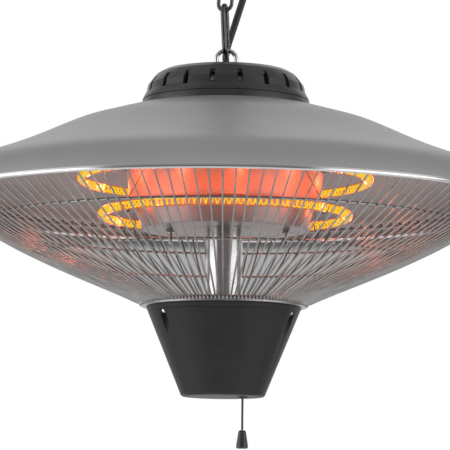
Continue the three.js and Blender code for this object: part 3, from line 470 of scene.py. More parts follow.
# piece, node, the bodies above and under, and the drop where it bends between them
stretches = [
    ("mainsCordLow", "cord_stretch_1", "hook", "heater", None),
    ("mainsCordMiddle", "cord_stretch_2", "lower_link", "hook", 125.8),
    ("mainsCordUpper", "cord_stretch_3", "upper_link", "lower_link", 94.1),
    ("mainsCordTop", "cord_stretch_4", "ceiling", "upper_link", 63.0),
]


def makeStretches():
    line = smoothLine([mm(*p) for p in mainsCord["route"]], 12)
    breaks = [0, *(next(i for i, p in enumerate(line) if -p.z * 1000 < drop) for drop in mainsCord["joins"])]
    for (name, node, above, under, hinge), first, last in zip(stretches, breaks, [*breaks[1:], len(line) - 1]):
        part = line[first : last + 1]
        piece = wire(name, [part], mainsCord["radius"], 6)
        dress(piece, cordRubber, node)
        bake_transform(piece)


def coilLine():
    steps, halfTurn = 36, 0.5
    start = radians(mainsCord["startAngle"])
    end = mainsCord["route"][-1]
    outerTurn = hypot(end[0], end[1])
    climbFrom = mainsCord["turnsPerLayer"]
    made = []
    for i in range(int((2 * climbFrom + halfTurn) * steps) + 1):
        at = i / steps
        climb = min(max((at - climbFrom) / halfTurn, 0), 1)
        inward = min(at, climbFrom) - max(at - climbFrom - halfTurn, 0)
        radius = outerTurn - mainsCord["pitch"] * inward - mainsCord["bulge"] * sin(pi * climb)
        lift = mainsCord["pitch"] * (1 - cos(pi * climb)) / 2
        made.append(around(radius, start + 2 * pi * at, mainsCord["lowerDrop"] - lift))
    end, last = made[-1], made[-2]
    way = Vector((end.x - last.x, end.y - last.y, 0)).normalized()
    way += mainsCord["tailOutward"] * Vector((end.x, end.y, 0)).normalized()
    way.normalize()
    bend = mainsCord["tailBend"] * 0.001
    begin = end + way * mainsCord["radius"] * 0.001
    for k in range(13):
        angle = pi / 2 * k / 12
        made.append(begin + way * bend * sin(angle) - Vector((0, 0, bend * (1 - cos(angle)))))
    for _ in range(2):
        made.append(made[-1] - Vector((0, 0, mainsCord["tailDrop"])))
    return made


mainsPlug = {"radius": 15, "reliefLength": 17, "pinGap": 7.5}


def makePlug(top, middle):
    bm = bmesh.new()
    bodyTop = top + mainsPlug["reliefLength"]
    radius = mainsPlug["radius"]
    sleeve = [(0, top), (4.2, top)]
    for i in range(5):
        drop, rib, groove = top + 1.5 + 2.8 * i, 4.4 + 0.08 * i, 3.9 + 0.1 * i
        sleeve += [(rib, drop), (groove, drop + 0.4), (groove, drop + 1.4), (rib + 0.1, drop + 1.8)]
    body = [
        (5, 0), (7.5, 0.6), (12.2, 5), (14.2, 11), (radius, 16), (radius, 27.6), (radius - 1, 29), (0, 29),
    ]
    turn(bm, softened([*sleeve, *((r, bodyTop + d) for r, d in body)], 0.5), 48, middle=middle)
    plug = place("mainsPlug", bm)
    carveGrip(plug, 18, (1.2, 1.2, 11), radius + 0.3, bodyTop + 19.5, middle)
    give(plug, blackPlastic, "ceiling", "cord_plug")
    pins = bmesh.new()
    pin = [(0, 28.8), (2, 28.8), (2, 37), (2.3, 37.2), (2.3, 44.6), (1.6, 45.9), (0, 46)]
    for side in (-1, 1):
        spot = (middle[0] + side * mainsPlug["pinGap"], middle[1])
        turn(pins, softened([(r, bodyTop + d) for r, d in pin], 0.3), 20, middle=spot)
    return plug, give(place("mainsPlugPins", pins), brightSteel, "ceiling")


def makeCoil():
    line = coilLine()
    end = line[-1] * 1000
    plug, pins = makePlug(-end.z + 0.3, (end.x, end.y))
    path = [line[0].lerp(line[1], 0.02), *line[1:]]
    coil = wire("mainsCordCoil", [path], mainsCord["radius"], 6)
    give(coil, cordRubber, "ceiling", "cord_coil")
    print("coil length", round(lengthOf(path), 4))


makeStretches()
makeCoil()
print("mains cord made")

# Ceiling plate, eye and the tie of the coil

ceilingPlate = {"radius": 34.7, "thickness": 5, "holeRadius": 2.8, "sinkRadius": 4.9, "holeAt": 26}


def makeCeilingPlate():
    bm = bmesh.new()
    radius, depth = ceilingPlate["radius"], ceilingPlate["thickness"]
    profile = [(0, 0), (radius, 0), (radius, depth - 1.2), (radius - 1.8, depth), (0, depth)]
    turn(bm, softened(profile, 0.5), 72)
    plate = place("ceilingPlate", bm)
    cutter = bmesh.new()
    hole, sink = ceilingPlate["holeRadius"], ceilingPlate["sinkRadius"]
    for side in (-1, 1):
        profile = [(0, -2), (hole, -2), (hole, 2.6), (sink, depth + 0.1), (sink, depth + 2), (0, depth + 2)]
        turn(cutter, profile, 32, middle=(side * ceilingPlate["holeAt"], 0))
    carve(plate, place("holeCutter", cutter))
    give(plate, zincSteel, "ceiling")


def ringLine(radius, drop, steps=40):
    angles = (2 * pi * i / steps for i in range(steps))
    return [mm(radius * cos(a), 0, drop - radius * sin(a)) for a in angles]


def makeCeilingEye():
    bm = bmesh.new()
    joinInto(bm, wire("eyeRing", [ringLine(12.5, 50.5)], 2.5, 5, closed=True))
    stem = [(0, 5.3), (8, 5.3), (8, 6.4), (7.2, 7.3), (3.5, 7.3)]
    for i in range(12):
        drop = 8.6 + 1.1 * i
        stem += [(3.5, drop), (3.1, drop + 0.55)]
    stem += [(3.5, 22.4), (3.5, 34.5), (4.2, 36.6), (3.4, 38.2), (0, 38.2)]
    turn(bm, softened(stem, 0.25), 32)
    give(place("ceilingEye", bm), zincSteel, "ceiling")


tie = {"turned": -35, "coilRadius": 46.89, "width": 10, "sheet": 1.2, "room": 1.6, "soften": 0.35}


def makeTie():
    # a strap with a band round each side of the coil and a ring on the eye's stem
    radius, pitch, drop = mainsCord["radius"], mainsCord["pitch"], mainsCord["lowerDrop"]
    sheet, width, soften = tie["sheet"], tie["width"], tie["soften"]
    inner = tie["coilRadius"] - mainsCord["turnsPerLayer"] * pitch - radius - sheet - tie["room"]
    outer = tie["coilRadius"] + radius + sheet
    top, bottom = drop - pitch - radius - sheet / 2, drop + radius + sheet
    middle, level = (inner + outer) / 2, (top + bottom) / 2
    bm = bmesh.new()
    for side in (0, pi):
        turned = radians(tie["turned"]) + side
        for at in (top - sheet / 2, bottom + sheet / 2):
            block(bm, (outer - inner + 2 * sheet, width, sheet), (middle, 0, at), soften, turned)
        for x in (inner - sheet / 2, outer + sheet / 2):
            block(bm, (sheet, width, bottom - top + 2), (x, 0, level), soften, turned)
        block(bm, (inner - 5, 5, sheet), ((inner + 4.6) / 2, 0, level), soften, turned)
        for i in range(6):
            block(bm, (0.5, 6.4, 0.35), (inner + 3 + 4.5 * i, 0, bottom + 1.3), 0, turned)
    collar = [(3.8, level - 2.5), (5.4, level - 2.5), (5.4, level + 2.5), (3.8, level + 2.5)]
    turn(bm, softened(collar, 0.3, True), 32, closed=True)
    give(place("coilTie", bm), blackPlastic, "ceiling")


makeCeilingPlate()
makeCeilingEye()
makeTie()
print("ceiling end made")

# Chain links, snap hook and gate

chainLink = {"wire": 3.8, "innerLength": 32, "innerWidth": 9.4}


def stadium(halfWidth, straight, steps=12):
    made = []
    for start, lift in ((0, straight / 2), (pi, -straight / 2)):
        for i in range(steps + 1):
            angle = start + pi * i / steps
            made.append((halfWidth * cos(angle), halfWidth * sin(angle) + lift))
    return made


# how far the chain and hook stand to the left of the middle: (drop, shift), mm
lean = [(60, 0), (95, 0), (125, 2.3), (169, 0)]


def leaned(bm):
    for v in bm.verts:
        drop = min(max(-v.co.z * 1000, lean[0][0]), lean[-1][0])
        for (above, first), (under, last) in zip(lean, lean[1:]):
            if above <= drop <= under:
                v.co.x -= (first + (last - first) * (drop - above) / (under - above)) * 0.001
                break


def hang(name, bm, look, body, turned):
    swivel(bm, bm.verts, turned)
    leaned(bm)
    give(place(name, bm), look, body)


def makeLink(name, body, topDrop, turned):
    radius = chainLink["wire"] / 2
    halfWidth = (chainLink["innerWidth"] + chainLink["wire"]) / 2
    middle = topDrop + chainLink["innerLength"] / 2
    outline = stadium(halfWidth, chainLink["innerLength"] - chainLink["innerWidth"])
    bm = bmesh.new()
    joinInto(bm, wire(name, [[mm(x, 0, middle - z) for x, z in outline]], radius, 5, closed=True))
    # the weld in one side
    seam = [(0, -2.6), (0.05, -2.4), (0.32, -1.2), (0.36, 0), (0.32, 1.2), (0.05, 2.4), (0, 2.6)]
    seam = [(radius + r if r else 0, d) for r, d in seam]
    turn(bm, [(r, d + middle) for r, d in smoothProfile(seam, 3)], 20, middle=(-halfWidth, 0))
    hang(name, bm, zincSteel, body, turned)


makeLink("chainLinkUpper", "upper_link", 60.2, pi / 2)
makeLink("chainLinkLower", "lower_link", 91.9, 0)

snapHook = {
    "wire": 5, "half": 9, "bow": 6.5, "top": 123.6, "seat": 168.9, "pinDrop": 159.2, "noseDrop": 143.2,
    "gateWire": 4.2, "gateBottom": 161.1, "pinHalf": 2.35, "pinRadius": 0.9,
}


def makeSnapHook():
    half = snapHook["half"]
    outline = [(-half, snapHook["noseDrop"] - 0.4)]
    steps = 16
    for start, level in ((0, snapHook["top"] + snapHook["bow"]), (pi, snapHook["seat"] - snapHook["bow"])):
        for i in range(steps, -1, -1):
            a = start + pi * i / steps
            outline.append((half * cos(a), level - half * sin(a)))
    line = [mm(0, -y, d) for y, d in outline]
    line.append(line[-1] + (line[-1] - line[-2]).normalized() * 0.0004)
    bm = bmesh.new()
    joinInto(bm, wire("hookBow", [line], snapHook["wire"] / 2, 6))
    block(bm, (1.8, 4.2, 5.7), (0, half, 159.85), 0.4)
    hang("snapHook", bm, zincSteel, "hook", hookTurn)


def makeGate():
    half = snapHook["half"]
    bottom, top = snapHook["gateBottom"], snapHook["noseDrop"]
    line = [mm(0, half, bottom + (top - bottom) * k / 8) for k in range(9)]
    gate = wire("hookGate", [line], snapHook["gateWire"] / 2, 6)
    cutter = bmesh.new()
    block(cutter, (2.4, 8.4, 9), (0, half, 160.2), 0.3)
    carve(gate, place("slotCutter", cutter))
    bm = bmesh.new()
    joinInto(bm, gate)
    hang("hookGate", bm, zincSteel, "gate", hookTurn)
    pinLine = [mm(x * snapHook["pinHalf"], 0, 0) for x in (-1, 0, 1)]
    bm = bmesh.new()
    joinInto(bm, wire("gatePin", [pinLine], snapHook["pinRadius"], 4, roundEnds=True))
    bmesh.ops.translate(bm, verts=bm.verts, vec=mm(0, half, snapHook["pinDrop"]))
    hang("gatePin", bm, brightSteel, "hook", hookTurn)


makeSnapHook()
makeGate()
print("chain and hook made")

# Eye bolt, its nut, the cap, its base and the cord gland

eyeBolt = {
    "ringRadius": 9.95, "wire": 4.5, "ringDrop": 176.3, "flange": 9, "shank": 4, "end": 48.5, "pitch": 1.1,
}
plateDrop = 40.2  # the hub plate's top
capFloor = 3.8  # the cap's inner floor, where the bolt and the gland sit


def makeEyeBolt():
    bm = bmesh.new()
    ring = ringLine(eyeBolt["ringRadius"], eyeBolt["ringDrop"], 56)
    joinInto(bm, wire("boltRing", [ring], eyeBolt["wire"] / 2, 6, closed=True))
    seat = eyeBolt["ringDrop"] + eyeBolt["ringRadius"]
    foot = heaterDrop + capFloor
    wide, radius = eyeBolt["flange"], eyeBolt["shank"]
    line = [
        (0, seat), (3.4, seat), (4.4, seat + 1.8), (4.6, foot - 3.2), (wide, foot - 2.6), (wide, foot),
        (4.1, foot),
    ]
    line += [(radius, foot + 0.5), (radius, foot + 34.5)]
    end = foot + eyeBolt["end"]
    for i in range(12):
        drop = foot + 35.1 + eyeBolt["pitch"] * i
        line += [p for p in ((radius - 0.4, drop), (radius, drop + 0.55)) if p[1] < end - 1.2]
    line += [(3.6, end - 0.8), (3.2, end), (0, end)]
    turn(bm, softened(line, 0.25), 40)
    give(place("eyeBolt", bm), brightSteel)


def makeEyeNut():
    bore = 4.3
    washer = [(bore, 0), (8, 0), (8, 1.2), (7, 1.7), (bore, 1.7)]
    nut = [(bore, 1.5), (7.4, 1.5), (7.4, 7.6), (6.7, 8.1), (bore, 8.1)]
    bm = bmesh.new()
    for profile, sides in ((softened(washer, 0.2, True), 40), (nut, 6)):
        turn(bm, below([(r, plateDrop + d) for r, d in profile]), sides, closed=True)
    give(place("eyeNut", bm), zincSteel, angle=25)


cordExit = (-0.3, 20)
cap = {
    "slots": 18, "slotWidth": 5.4, "slotTop": 7.2, "slotHeight": 14.6,
    "outside": [
        (43.8, 4.1), (45, -1.3), (63, -1.3), (70, 2.7), (74.2, 7.8), (78.3, 13.5), (79.7, 20.3), (82, 24.3),
        (83.7, 28.3),
    ],
    "inside": [(81.2, 28.3), (77.4, 21.6), (71.5, 9.1), (62.2, 1.2), (47.5, 1.2), (46.2, 6.6), (0.0, 6.6)],
}


def makeCap():
    shell = spun("cap", [(0, 4.1), *softened(cap["outside"], 0.9), *cap["inside"]], 144)
    cutter = bmesh.new()
    level = cap["slotTop"] + cap["slotHeight"] / 2 + heaterDrop
    for i in range(cap["slots"]):
        angle = (i + 0.5) * 2 * pi / cap["slots"] - pi / 2
        block(cutter, (12, cap["slotWidth"], cap["slotHeight"]), (78, 0, level), 0.7, angle)
    rod(cutter, 5.7, -7, 17, 32, cordExit)
    rod(cutter, 4.3, -7, 17, 32)
    carve(shell, place("slotCutter", cutter))
    easeEdges(shell)
    give(shell, blackPlastic, angle=30)


def makeCapBase():
    profile = [(64, 28.6), (83.5, 28.6), (84.4, 34.6), (84.4, 35.3), (64, 35.3)]
    give(spun("capBase", profile, 144, 0.6, True), blackPlastic, angle=30)


def makeGland():
    bore = 3.7
    profile = [
        (bore, -18), (4.4, -18), (5.0, -16.9), (5.3, -13.5), (6.6, -10.3), (7.0, -6.9), (8.9, -5.9),
        (9, -0.7), (8.6, 0), (5.4, 0), (5.4, 8.8), (bore, 8.8),
    ]
    gland = spun("cordGland", [(r, capFloor + d) for r, d in profile], 48, 0.5, True, cordExit)
    carveGrip(gland, 20, (1.0, 1.0, 5), 9.1, heaterDrop + capFloor - 2.9, cordExit)
    give(gland, blackPlastic)


makeEyeBolt()
makeEyeNut()
makeCap()
makeCapBase()
makeGland()
repaint(zincSteel, "hub_plate")
repaint(ceramic, "terminal_block", "lamp_base_upper", "lamp_base_lower")
print("top of the heater made")

# Shade: one spun sheet with a rolled rim

shade = {
    "sheet": 1.5, "sides": 192, "bead": (297.4, 134.4, 2.3), "openTo": 130.6,
    "outside": [
        (87, 35.7), (98, 38.0), (110, 41.2), (130, 47.0), (150, 53.1), (175, 64.0), (190, 71.0), (210, 79.8),
        (230, 87.7), (250, 94.8), (266, 100.0), (277, 104.2), (285.6, 109.0), (291.8, 114.8), (296, 121.2),
        (298.4, 127.4), (299.2, 131.2),
    ],
}


def makeShade():
    outside = smoothProfile(shade["outside"], 3)
    radius, drop, bend = shade["bead"]
    angles = [radians(d) for d in range(30, -215, -16)]
    bead = [(radius + bend * cos(a), drop - bend * sin(a)) for a in angles]
    inside = []
    for (r0, d0), (r1, d1) in zip(outside, outside[1:]):
        way = Vector((r1 - r0, d1 - d0)).normalized()
        inside.append((r0 - way.y * shade["sheet"], d0 + way.x * shade["sheet"]))
    inside = [p for p in inside if p[1] < shade["openTo"]]
    profile = [(66, 35.6), *outside, *bead, *reversed(inside), (66, 37.1)]
    give(spun("shade", profile, shade["sides"], closed=True), shadePaint, angle=60)


makeShade()
print("shade made")

# Reflector drum, its floor and the floor screws

poleHole = 18.3
drum = {
    "sides": 128, "studs": {"Left": -53.5, "Right": 61.5}, "studY": -16,
    "upper": [
        (poleHole, 40.2), (58, 40.2), (103.3, 45.6), (103.4, 46.4), (94.9, 131.8), (95, 133.3), (94, 133.3),
        (94, 131.6), (102.4, 46.8), (57.8, 41.2), (poleHole, 41.2),
    ],
    "lower": [
        (poleHole, 135.6), (88.9, 135.6), (88.9, 136.6), (83, 157.6), (83, 158.3), (82, 158.3), (87.9, 136.9),
        (poleHole, 136.6),
    ],
    "floor": [
        (poleHole, 157.1), (81.7, 157.1), (81.7, 158.3), (70, 158.3), (69, 157.9), (34, 157.9), (33, 158.3),
        (poleHole, 158.3),
    ],
}


def makeDrums():
    give(spun("upperDrum", drum["upper"], drum["sides"], 0.8, True), litReflector)
    give(spun("lowerDrum", drum["lower"], drum["sides"], 0.6, True), reflector)
    plate = spun("drumFloor", drum["floor"], drum["sides"], 0.3, True)
    cutter = bmesh.new()
    for x in drum["studs"].values():
        rod(cutter, 2.3, 150, 165, 24, (x, drum["studY"]))
    carve(plate, place("holeCutter", cutter))
    give(plate, reflector)
    screw = [(0, 156.1), (2, 156.1), (2, 162.6)]
    for i in range(11):
        screw += [(1.65, 163 + i), (2, 163.5 + i)]
    screw += [(1.5, 174.3), (0, 174.3)]
    nut = [(2.05, 158.6), (3.9, 158.6), (4.0, 159), (4.0, 162.2), (3.6, 162.6), (2.05, 162.6)]
    for name, x in drum["studs"].items():
        bm = bmesh.new()
        turn(bm, below(screw), 20, middle=(x, drum["studY"]))
        turn(bm, below(nut), 6, closed=True, middle=(x, drum["studY"]))
        give(place("floorStud" + name, bm), brightSteel, angle=25)


makeDrums()
print("drum made")

# Ring lamps with their wound filaments

lamps = {
    "upper": {"radius": 144, "drop": 107.3}, "lower": {"radius": 123, "drop": 143.3}, "endGap": 11,
    "legEnd": 15.6,
    "tube": 4.8, "bend": 11, "legX": 8, "coilRadius": 3.2, "coilWire": 1.35, "pitch": 5.6, "coilSteps": 10,
}


def drumRadiusAt(drop):
    if drop > 135.6:
        return 89 - 6 * (drop - 135.6) / 22.7
    return 103.5 - 8.5 * (drop - 45.5) / 87.8


def lampLine(which, steps=120):
    bend, drop = lamps["bend"], which["drop"] + heaterDrop
    x = lamps["legX"] + bend
    y = sqrt((which["radius"] - bend) ** 2 - x**2)
    first = atan2(y, x)
    arc = [around(which["radius"], first - (2 * first + pi) * i / steps, drop) for i in range(steps + 1)]
    right = [mm(lamps["legX"], drumRadiusAt(which["drop"] - 7.5) + lamps["legEnd"], drop)]
    sweep = pi - first
    right += [mm(x, y, 0) + around(bend, pi - sweep * i / 8, drop) for i in range(8)]
    left = [Vector((-p.x, p.y, p.z)) for p in reversed(right)]
    return [*right, *arc, *left]


def makeLamp(name):
    line = lampLine(lamps[name])
    give(wire("lamp" + name.capitalize(), [line], lamps["tube"], 6), lampGlass)
    gap, per = lamps["endGap"] * 0.001, lamps["coilSteps"]
    room = lengthOf(line) - 2 * gap
    count = int(room * 1000 / lamps["pitch"]) * per
    walked, piece = 0.0, 0
    spots = []
    for i in range(count + 1):
        wanted = gap + room * i / count
        while walked + (line[piece + 1] - line[piece]).length < wanted:
            walked += (line[piece + 1] - line[piece]).length
            piece += 1
        way = (line[piece + 1] - line[piece]).normalized()
        across, up = way.cross(Vector((0, 0, 1))), Vector((0, 0, 1))
        angle = 2 * pi * i / per
        out = (across * cos(angle) + up * sin(angle)) * lamps["coilRadius"] * 0.001
        spots.append(line[piece] + way * (wanted - walked) + out)
    give(wire("filament" + name.capitalize(), [spots], lamps["coilWire"] / 2, 0), hotFilament)


makeLamp("upper")
makeLamp("lower")
print("lamps made")

# Lamp clips: a sprung wire with a coil on the drum and a loop round each lamp

clip = {
    "wire": 1.2, "coilRadius": 3, "turns": 2, "pitch": 1.8, "drop": 100.3, "spread": 4.5, "loopRadius": 6.4,
    "angle": 45, "steps": 12,
}


def clipLine(side, rear):
    angle = -rear * radians(clip["angle"])
    if side < 0:
        angle = pi - angle
    radial = Vector((cos(angle), sin(angle), 0))
    sideways = Vector((-sin(angle), cos(angle), 0)) * side * rear
    up = Vector((0, 0, 1))

    def circle(centre, across, radius, turned):
        return centre + (across * cos(turned) + up * sin(turned)) * radius * 0.001

    reach = drumRadiusAt(clip["drop"]) + 0.3 + clip["wire"]
    middle = radial * reach * 0.001 + mm(0, 0, clip["drop"] + heaterDrop)
    coil = []
    for i in range(clip["steps"] * clip["turns"] + 1):
        centre = middle + radial * clip["pitch"] * i / clip["steps"] * 0.001
        coil.append(circle(centre, sideways, clip["coilRadius"], 2 * pi * i / clip["steps"]))

    def loopRound(which, shift, first, last, count=14):
        away = sqrt(which["radius"] ** 2 - shift**2)
        centre = radial * away * 0.001 + sideways * shift * away / which["radius"] * 0.001
        centre = centre + mm(0, 0, which["drop"] + heaterDrop)
        angles = (radians(first + (last - first) * i / count) for i in range(count + 1))
        return [circle(centre, radial, clip["loopRadius"], turned) for turned in angles]

    upper = loopRound(lamps["upper"], -2 * clip["spread"], 300, 100)
    lower = loopRound(lamps["lower"], 3 * clip["spread"], 110, 330)
    return [*upper, *coil, *lower]


for name, side, rear in (
    ("FrontLeft", -1, 1), ("FrontRight", 1, 1), ("RearLeft", -1, -1), ("RearRight", 1, -1),
):
    give(wire("clip" + name, [clipLine(side, rear)], clip["wire"] / 2, 2, roundEnds=True), zincSteel)
print("clips made")

# Guard: 140 radial wires hooked over the rim ring, welded to two rings and the base

guard = {
    "wires": 140, "panels": 7, "wire": 1.9, "turned": radians(-0.5), "hookRadius": 3.3,
    "shape": [
        (286.5, 127.8), (283, 131.3), (275, 136.9), (262, 145.4), (246.5, 155.3), (230, 165.3), (210, 176.1),
        (187.5, 187.0), (165, 197.2), (140, 207.8), (115, 218.2), (98, 225.5), (89, 229.6), (84.4, 231.4),
        (83.2, 233.6),
    ],
    "rings": [("RimRing", 283.2, 126.8, 2.0), ("RingUpper", 243, 155.4, 1.2), ("RingLower", 183, 186.6, 1.2)],
    "base": [(poleHole, 233.3), (80, 233.3), (80, 229.8), (82, 229.8), (82, 235.3), (poleHole, 235.3)],
}
cup = {
    "top": 235.6, "bottom": 324.1, "groove": 240.3, "cordX": 19.5, "wall": 2.5, "bossRadius": 7,
    "pocketRadius": 5,
    "pocketTop": 4.5, "slope": 34.6 / 84.9, "depth": 95,
    "screws": [(70 * cos(radians(a)), 70 * sin(radians(a))) for a in (-144, -24, 96)],
}


def makeGuard():
    rimRadius, rimDrop = guard["rings"][0][1:3]
    hook = []
    for degrees in range(-150, 1, 30):
        a = radians(degrees)
        hook.append((rimRadius + guard["hookRadius"] * cos(a), rimDrop + guard["hookRadius"] * sin(a)))
    line = below(smoothProfile([*hook, *guard["shape"]], 2))
    perPanel = guard["wires"] // guard["panels"]
    for panel in range(guard["panels"]):
        turns = (2 * pi * (panel * perPanel + i) / guard["wires"] + guard["turned"] for i in range(perPanel))
        lines = [[around(r, angle, d) for r, d in line] for angle in turns]
        give(wire(f"guardWires{panel + 1}", lines, guard["wire"] / 2, 1), guardWire, angle=60)
    for name, radius, drop, thick in guard["rings"]:
        circle = [around(radius, 2 * pi * i / 160, drop + heaterDrop) for i in range(160)]
        give(wire("guard" + name, [circle], thick, 3, closed=True), guardWire)
    base = spun("guardBase", guard["base"], 128, 0.5, True)
    cutter = bmesh.new()
    for spot in cup["screws"]:
        rod(cutter, 2, 228, 238, 20, spot)
    carve(base, place("holeCutter", cutter))
    give(base, guardWire)


makeGuard()
print("guard made")

# Pole, cup with its screws, switch and pull


def makePole():
    profile = [(16.5, 40.2), (18, 40.2), (18, 155.2), (17.75, 155.5), (18, 155.8), (18, 238.3), (16.5, 238.3)]
    give(spun("pole", profile, 96, closed=True), brightSteel, angle=20)


def makeCup():
    top, bottom, groove, low = cup["top"], cup["bottom"], cup["groove"], cup["top"] + cup["depth"]

    def radiusAt(drop):
        return 77.2 - cup["slope"] * (drop - top)

    outside = [
        (0, top), (radiusAt(top), top), (radiusAt(groove - 0.5), groove - 0.5),
        (radiusAt(groove) - 0.5, groove), (radiusAt(groove + 0.5), groove + 0.5), (42.6, bottom - 3.6),
        (41.9, bottom - 1.5), (40, bottom), (0, bottom),
    ]
    shell = spun("cup", outside, 144, 0.7)
    wall = cup["wall"]
    inner = [
        (0, top - 3), (radiusAt(top) - wall + 1.2, top - 3), (radiusAt(bottom - 4) - wall, bottom - 4),
        (38, bottom - wall), (0, bottom - wall),
    ]
    hollow = spun("cupHollow", inner, 96)
    bosses, pockets, holes = bmesh.new(), bmesh.new(), bmesh.new()
    radius, start = cup["pocketRadius"], top + cup["pocketTop"]
    pocket = below(softened([(0, start), (radius, start), (radius, low), (0, low)], 0.8))
    for spot in cup["screws"]:
        rod(bosses, cup["bossRadius"], top - 6, low, 40, spot)
        turn(pockets, pocket, 40, middle=spot)
        rod(holes, 2, top - 3, top + 7, 20, spot)
    rod(holes, 4.3, bottom - 6, bottom + 6, 32, (cup["cordX"], 0))
    carve(hollow, place("bossCutter", bosses))
    carve(shell, hollow)
    carve(shell, place("pocketCutter", pockets))
    carve(shell, place("holeCutter", holes))
    easeEdges(shell)
    give(shell, cupPlastic, angle=30)
    screwLine = [(0, -7.5), (1.7, -7.5), (1.7, 0), (4.3, 0), (4.3, 2.7), (3.3, 4.2), (0, 4.8)]
    head = start + 0.3
    for i, spot in enumerate(cup["screws"]):
        screw = spun(f"cupScrew{i + 1}", [(r, head + d) for r, d in screwLine], 32, 0.4, middle=spot)
        for angle in (0.4, 0.4 + pi / 2):
            cross = bmesh.new()
            made = block(cross, (3.6, 0.8, 2.4), (0, 0, 0), 0, angle)
            bmesh.ops.translate(cross, verts=made, vec=mm(*spot, head + 4.8 + heaterDrop))
            carve(screw, place("crossCutter", cross))
        give(screw, brightSteel)


def makeBushing():
    bottom = cup["bottom"]
    profile = [(1.7, -5), (4, -5), (4, 0.3), (5.5, 0.3), (4.9, 1.5), (1.7, 1.5)]
    bushing = spun("cordBushing", [(r, bottom + d) for r, d in profile], 40, 0.35, True, (cup["cordX"], 0))
    give(bushing, blackPlastic)


# the body, the two cheeks round the lever's pivot and a rib on each side: size, middle, softening
switchBlocks = [
    ((40, 26, 26), (8, 0, 252.8), 1.2),
    *(((6.4, 5, 7.7), (3.5, y, 269.35), 0.6) for y in (-5.8, 5.8)),
    *(((38, 0.5, 1.2), (8, y, 246), 0) for y in (-13.05, 13.05)),
]


def makeSwitch():
    bm = bmesh.new()
    for size, (x, y, drop), soften in switchBlocks:
        block(bm, size, (x, y, drop + heaterDrop), soften)
    give(place("switchBox", bm), blackPlastic)


pull = {
    "spot": (cup["cordX"], 0), "radius": 1.1, "top": 272.1, "knobTop": 356.8,
    "bead": [(0, 0), (2, 0), (2, 3), (0.9, 3.6), (0, 3.7)],
    "knob": [
        (0, 0), (1.8, 0), (3.1, 0.5), (3.75, 1.5), (4.05, 3.2), (4.5, 6), (4.95, 9), (5.4, 12), (5.85, 15),
        (5.9, 16.6), (5.4, 17.9), (4.3, 18.3), (0, 18.3),
    ],
}


def makePull():
    top, end, count = pull["top"] + heaterDrop + 3.2, pull["knobTop"] + heaterDrop - 0.3, 24
    line = [mm(*pull["spot"], top + (end - top) * i / count) for i in range(count + 1)]
    cord = wire("pullCord", [line], pull["radius"], 4)
    bead = spun("pullBead", [(r, pull["top"] + d) for r, d in pull["bead"]], 28, 0.6, middle=pull["spot"])
    give(bead, blackPlastic, "pull")
    give(cord, braidedCord, "pull")
    shape = [(r, pull["knobTop"] + d) for r, d in smoothProfile(pull["knob"], 2)]
    knob = give(spun("pullKnob", shape, 48, middle=pull["spot"]), blackPlastic, "pull", angle=60)


innerLead = {"radius": 2.4, "boltX": 12.4, "side": -16 / 3, "clear": -10, "start": -18.7, "drop": 30.9}


def makeInnerLead():
    # from the terminal block round the bolt and down inside the pole
    x, side, clear = innerLead["boltX"], innerLead["side"], innerLead["clear"]
    start, drop, straight, end = innerLead["start"], innerLead["drop"], 58.2, 239.5
    bend = [
        (start, side, drop), (start + 5, side, drop), (start / 3, clear, drop), (x / 2, clear, drop),
        (x, clear / 2, drop + 1.2), (x, 0, drop + 4.1), (x, 0, drop + 9), (x, 0, straight),
    ]
    points = [mm(x, y, d + heaterDrop) for x, y, d in bend]
    down = (mm(x, 0, heaterDrop + straight + (end - straight) * i / 12) for i in range(1, 13))
    line = [*smoothLine(points, 6), *down]
    lead = wire("innerLead", [line], innerLead["radius"], 4)
    give(lead, cordRubber)
    print("inner lead length", round(lengthOf(line), 4))


makePole()
makeCup()
makeBushing()
makeSwitch()
makePull()
makeInnerLead()
repaint(brass, "switch_lever")
print("pole, cup and pull made")

# Floor, backdrop and soft light

studio = {
    "floorDrop": 1.95, "floorRadius": 2.4, "floorLift": 0.35, "front": 0.2, "frontHalf": 46,
    "sky": [(0.0, 0.9), (0.12, 0.8), (0.2, 0.32), (0.57, 0.32), (0.66, 0.38), (1.0, 0.38)],
    # degrees from the front, half the width, brightness
    "bands": [(-78, 26, 2.1), (64, 26, 1.7)],
    # place, height of what it points at, size, power
    "lights": {
        "lowLight": ((0, -0.4, -1.90), -0.35, (2.2, 2.2), 42),
        "frontLight": ((0, -2.9, 1.2), -0.3, (1.6, 1.2), 30),
        "topLight": ((0, 1.3, 1.7), -0.35, (2.4, 2.4), 5),
    },
}
# The grey part of the backdrop, in tangents of the direction x 1000, so that 0.35 is a pixel. Half its width
# is slope x height - inset, between low and top. Its tones go by the height, which bends down to the sides.
patch = {
    "slope": 2.04, "inset": 155.8, "top": 118, "low": 90.5, "bend": 0.00063,
    "tones": [(106, 0.41), (108.6, 0.39), (109.5, 0.27), (110.4, 0.13), (112, 0.1)],
}
lampGlow = {"count": 16, "upper": 0.05, "lower": 0.035, "colour": (1.0, 0.12, 0.05), "radius": 0.006}


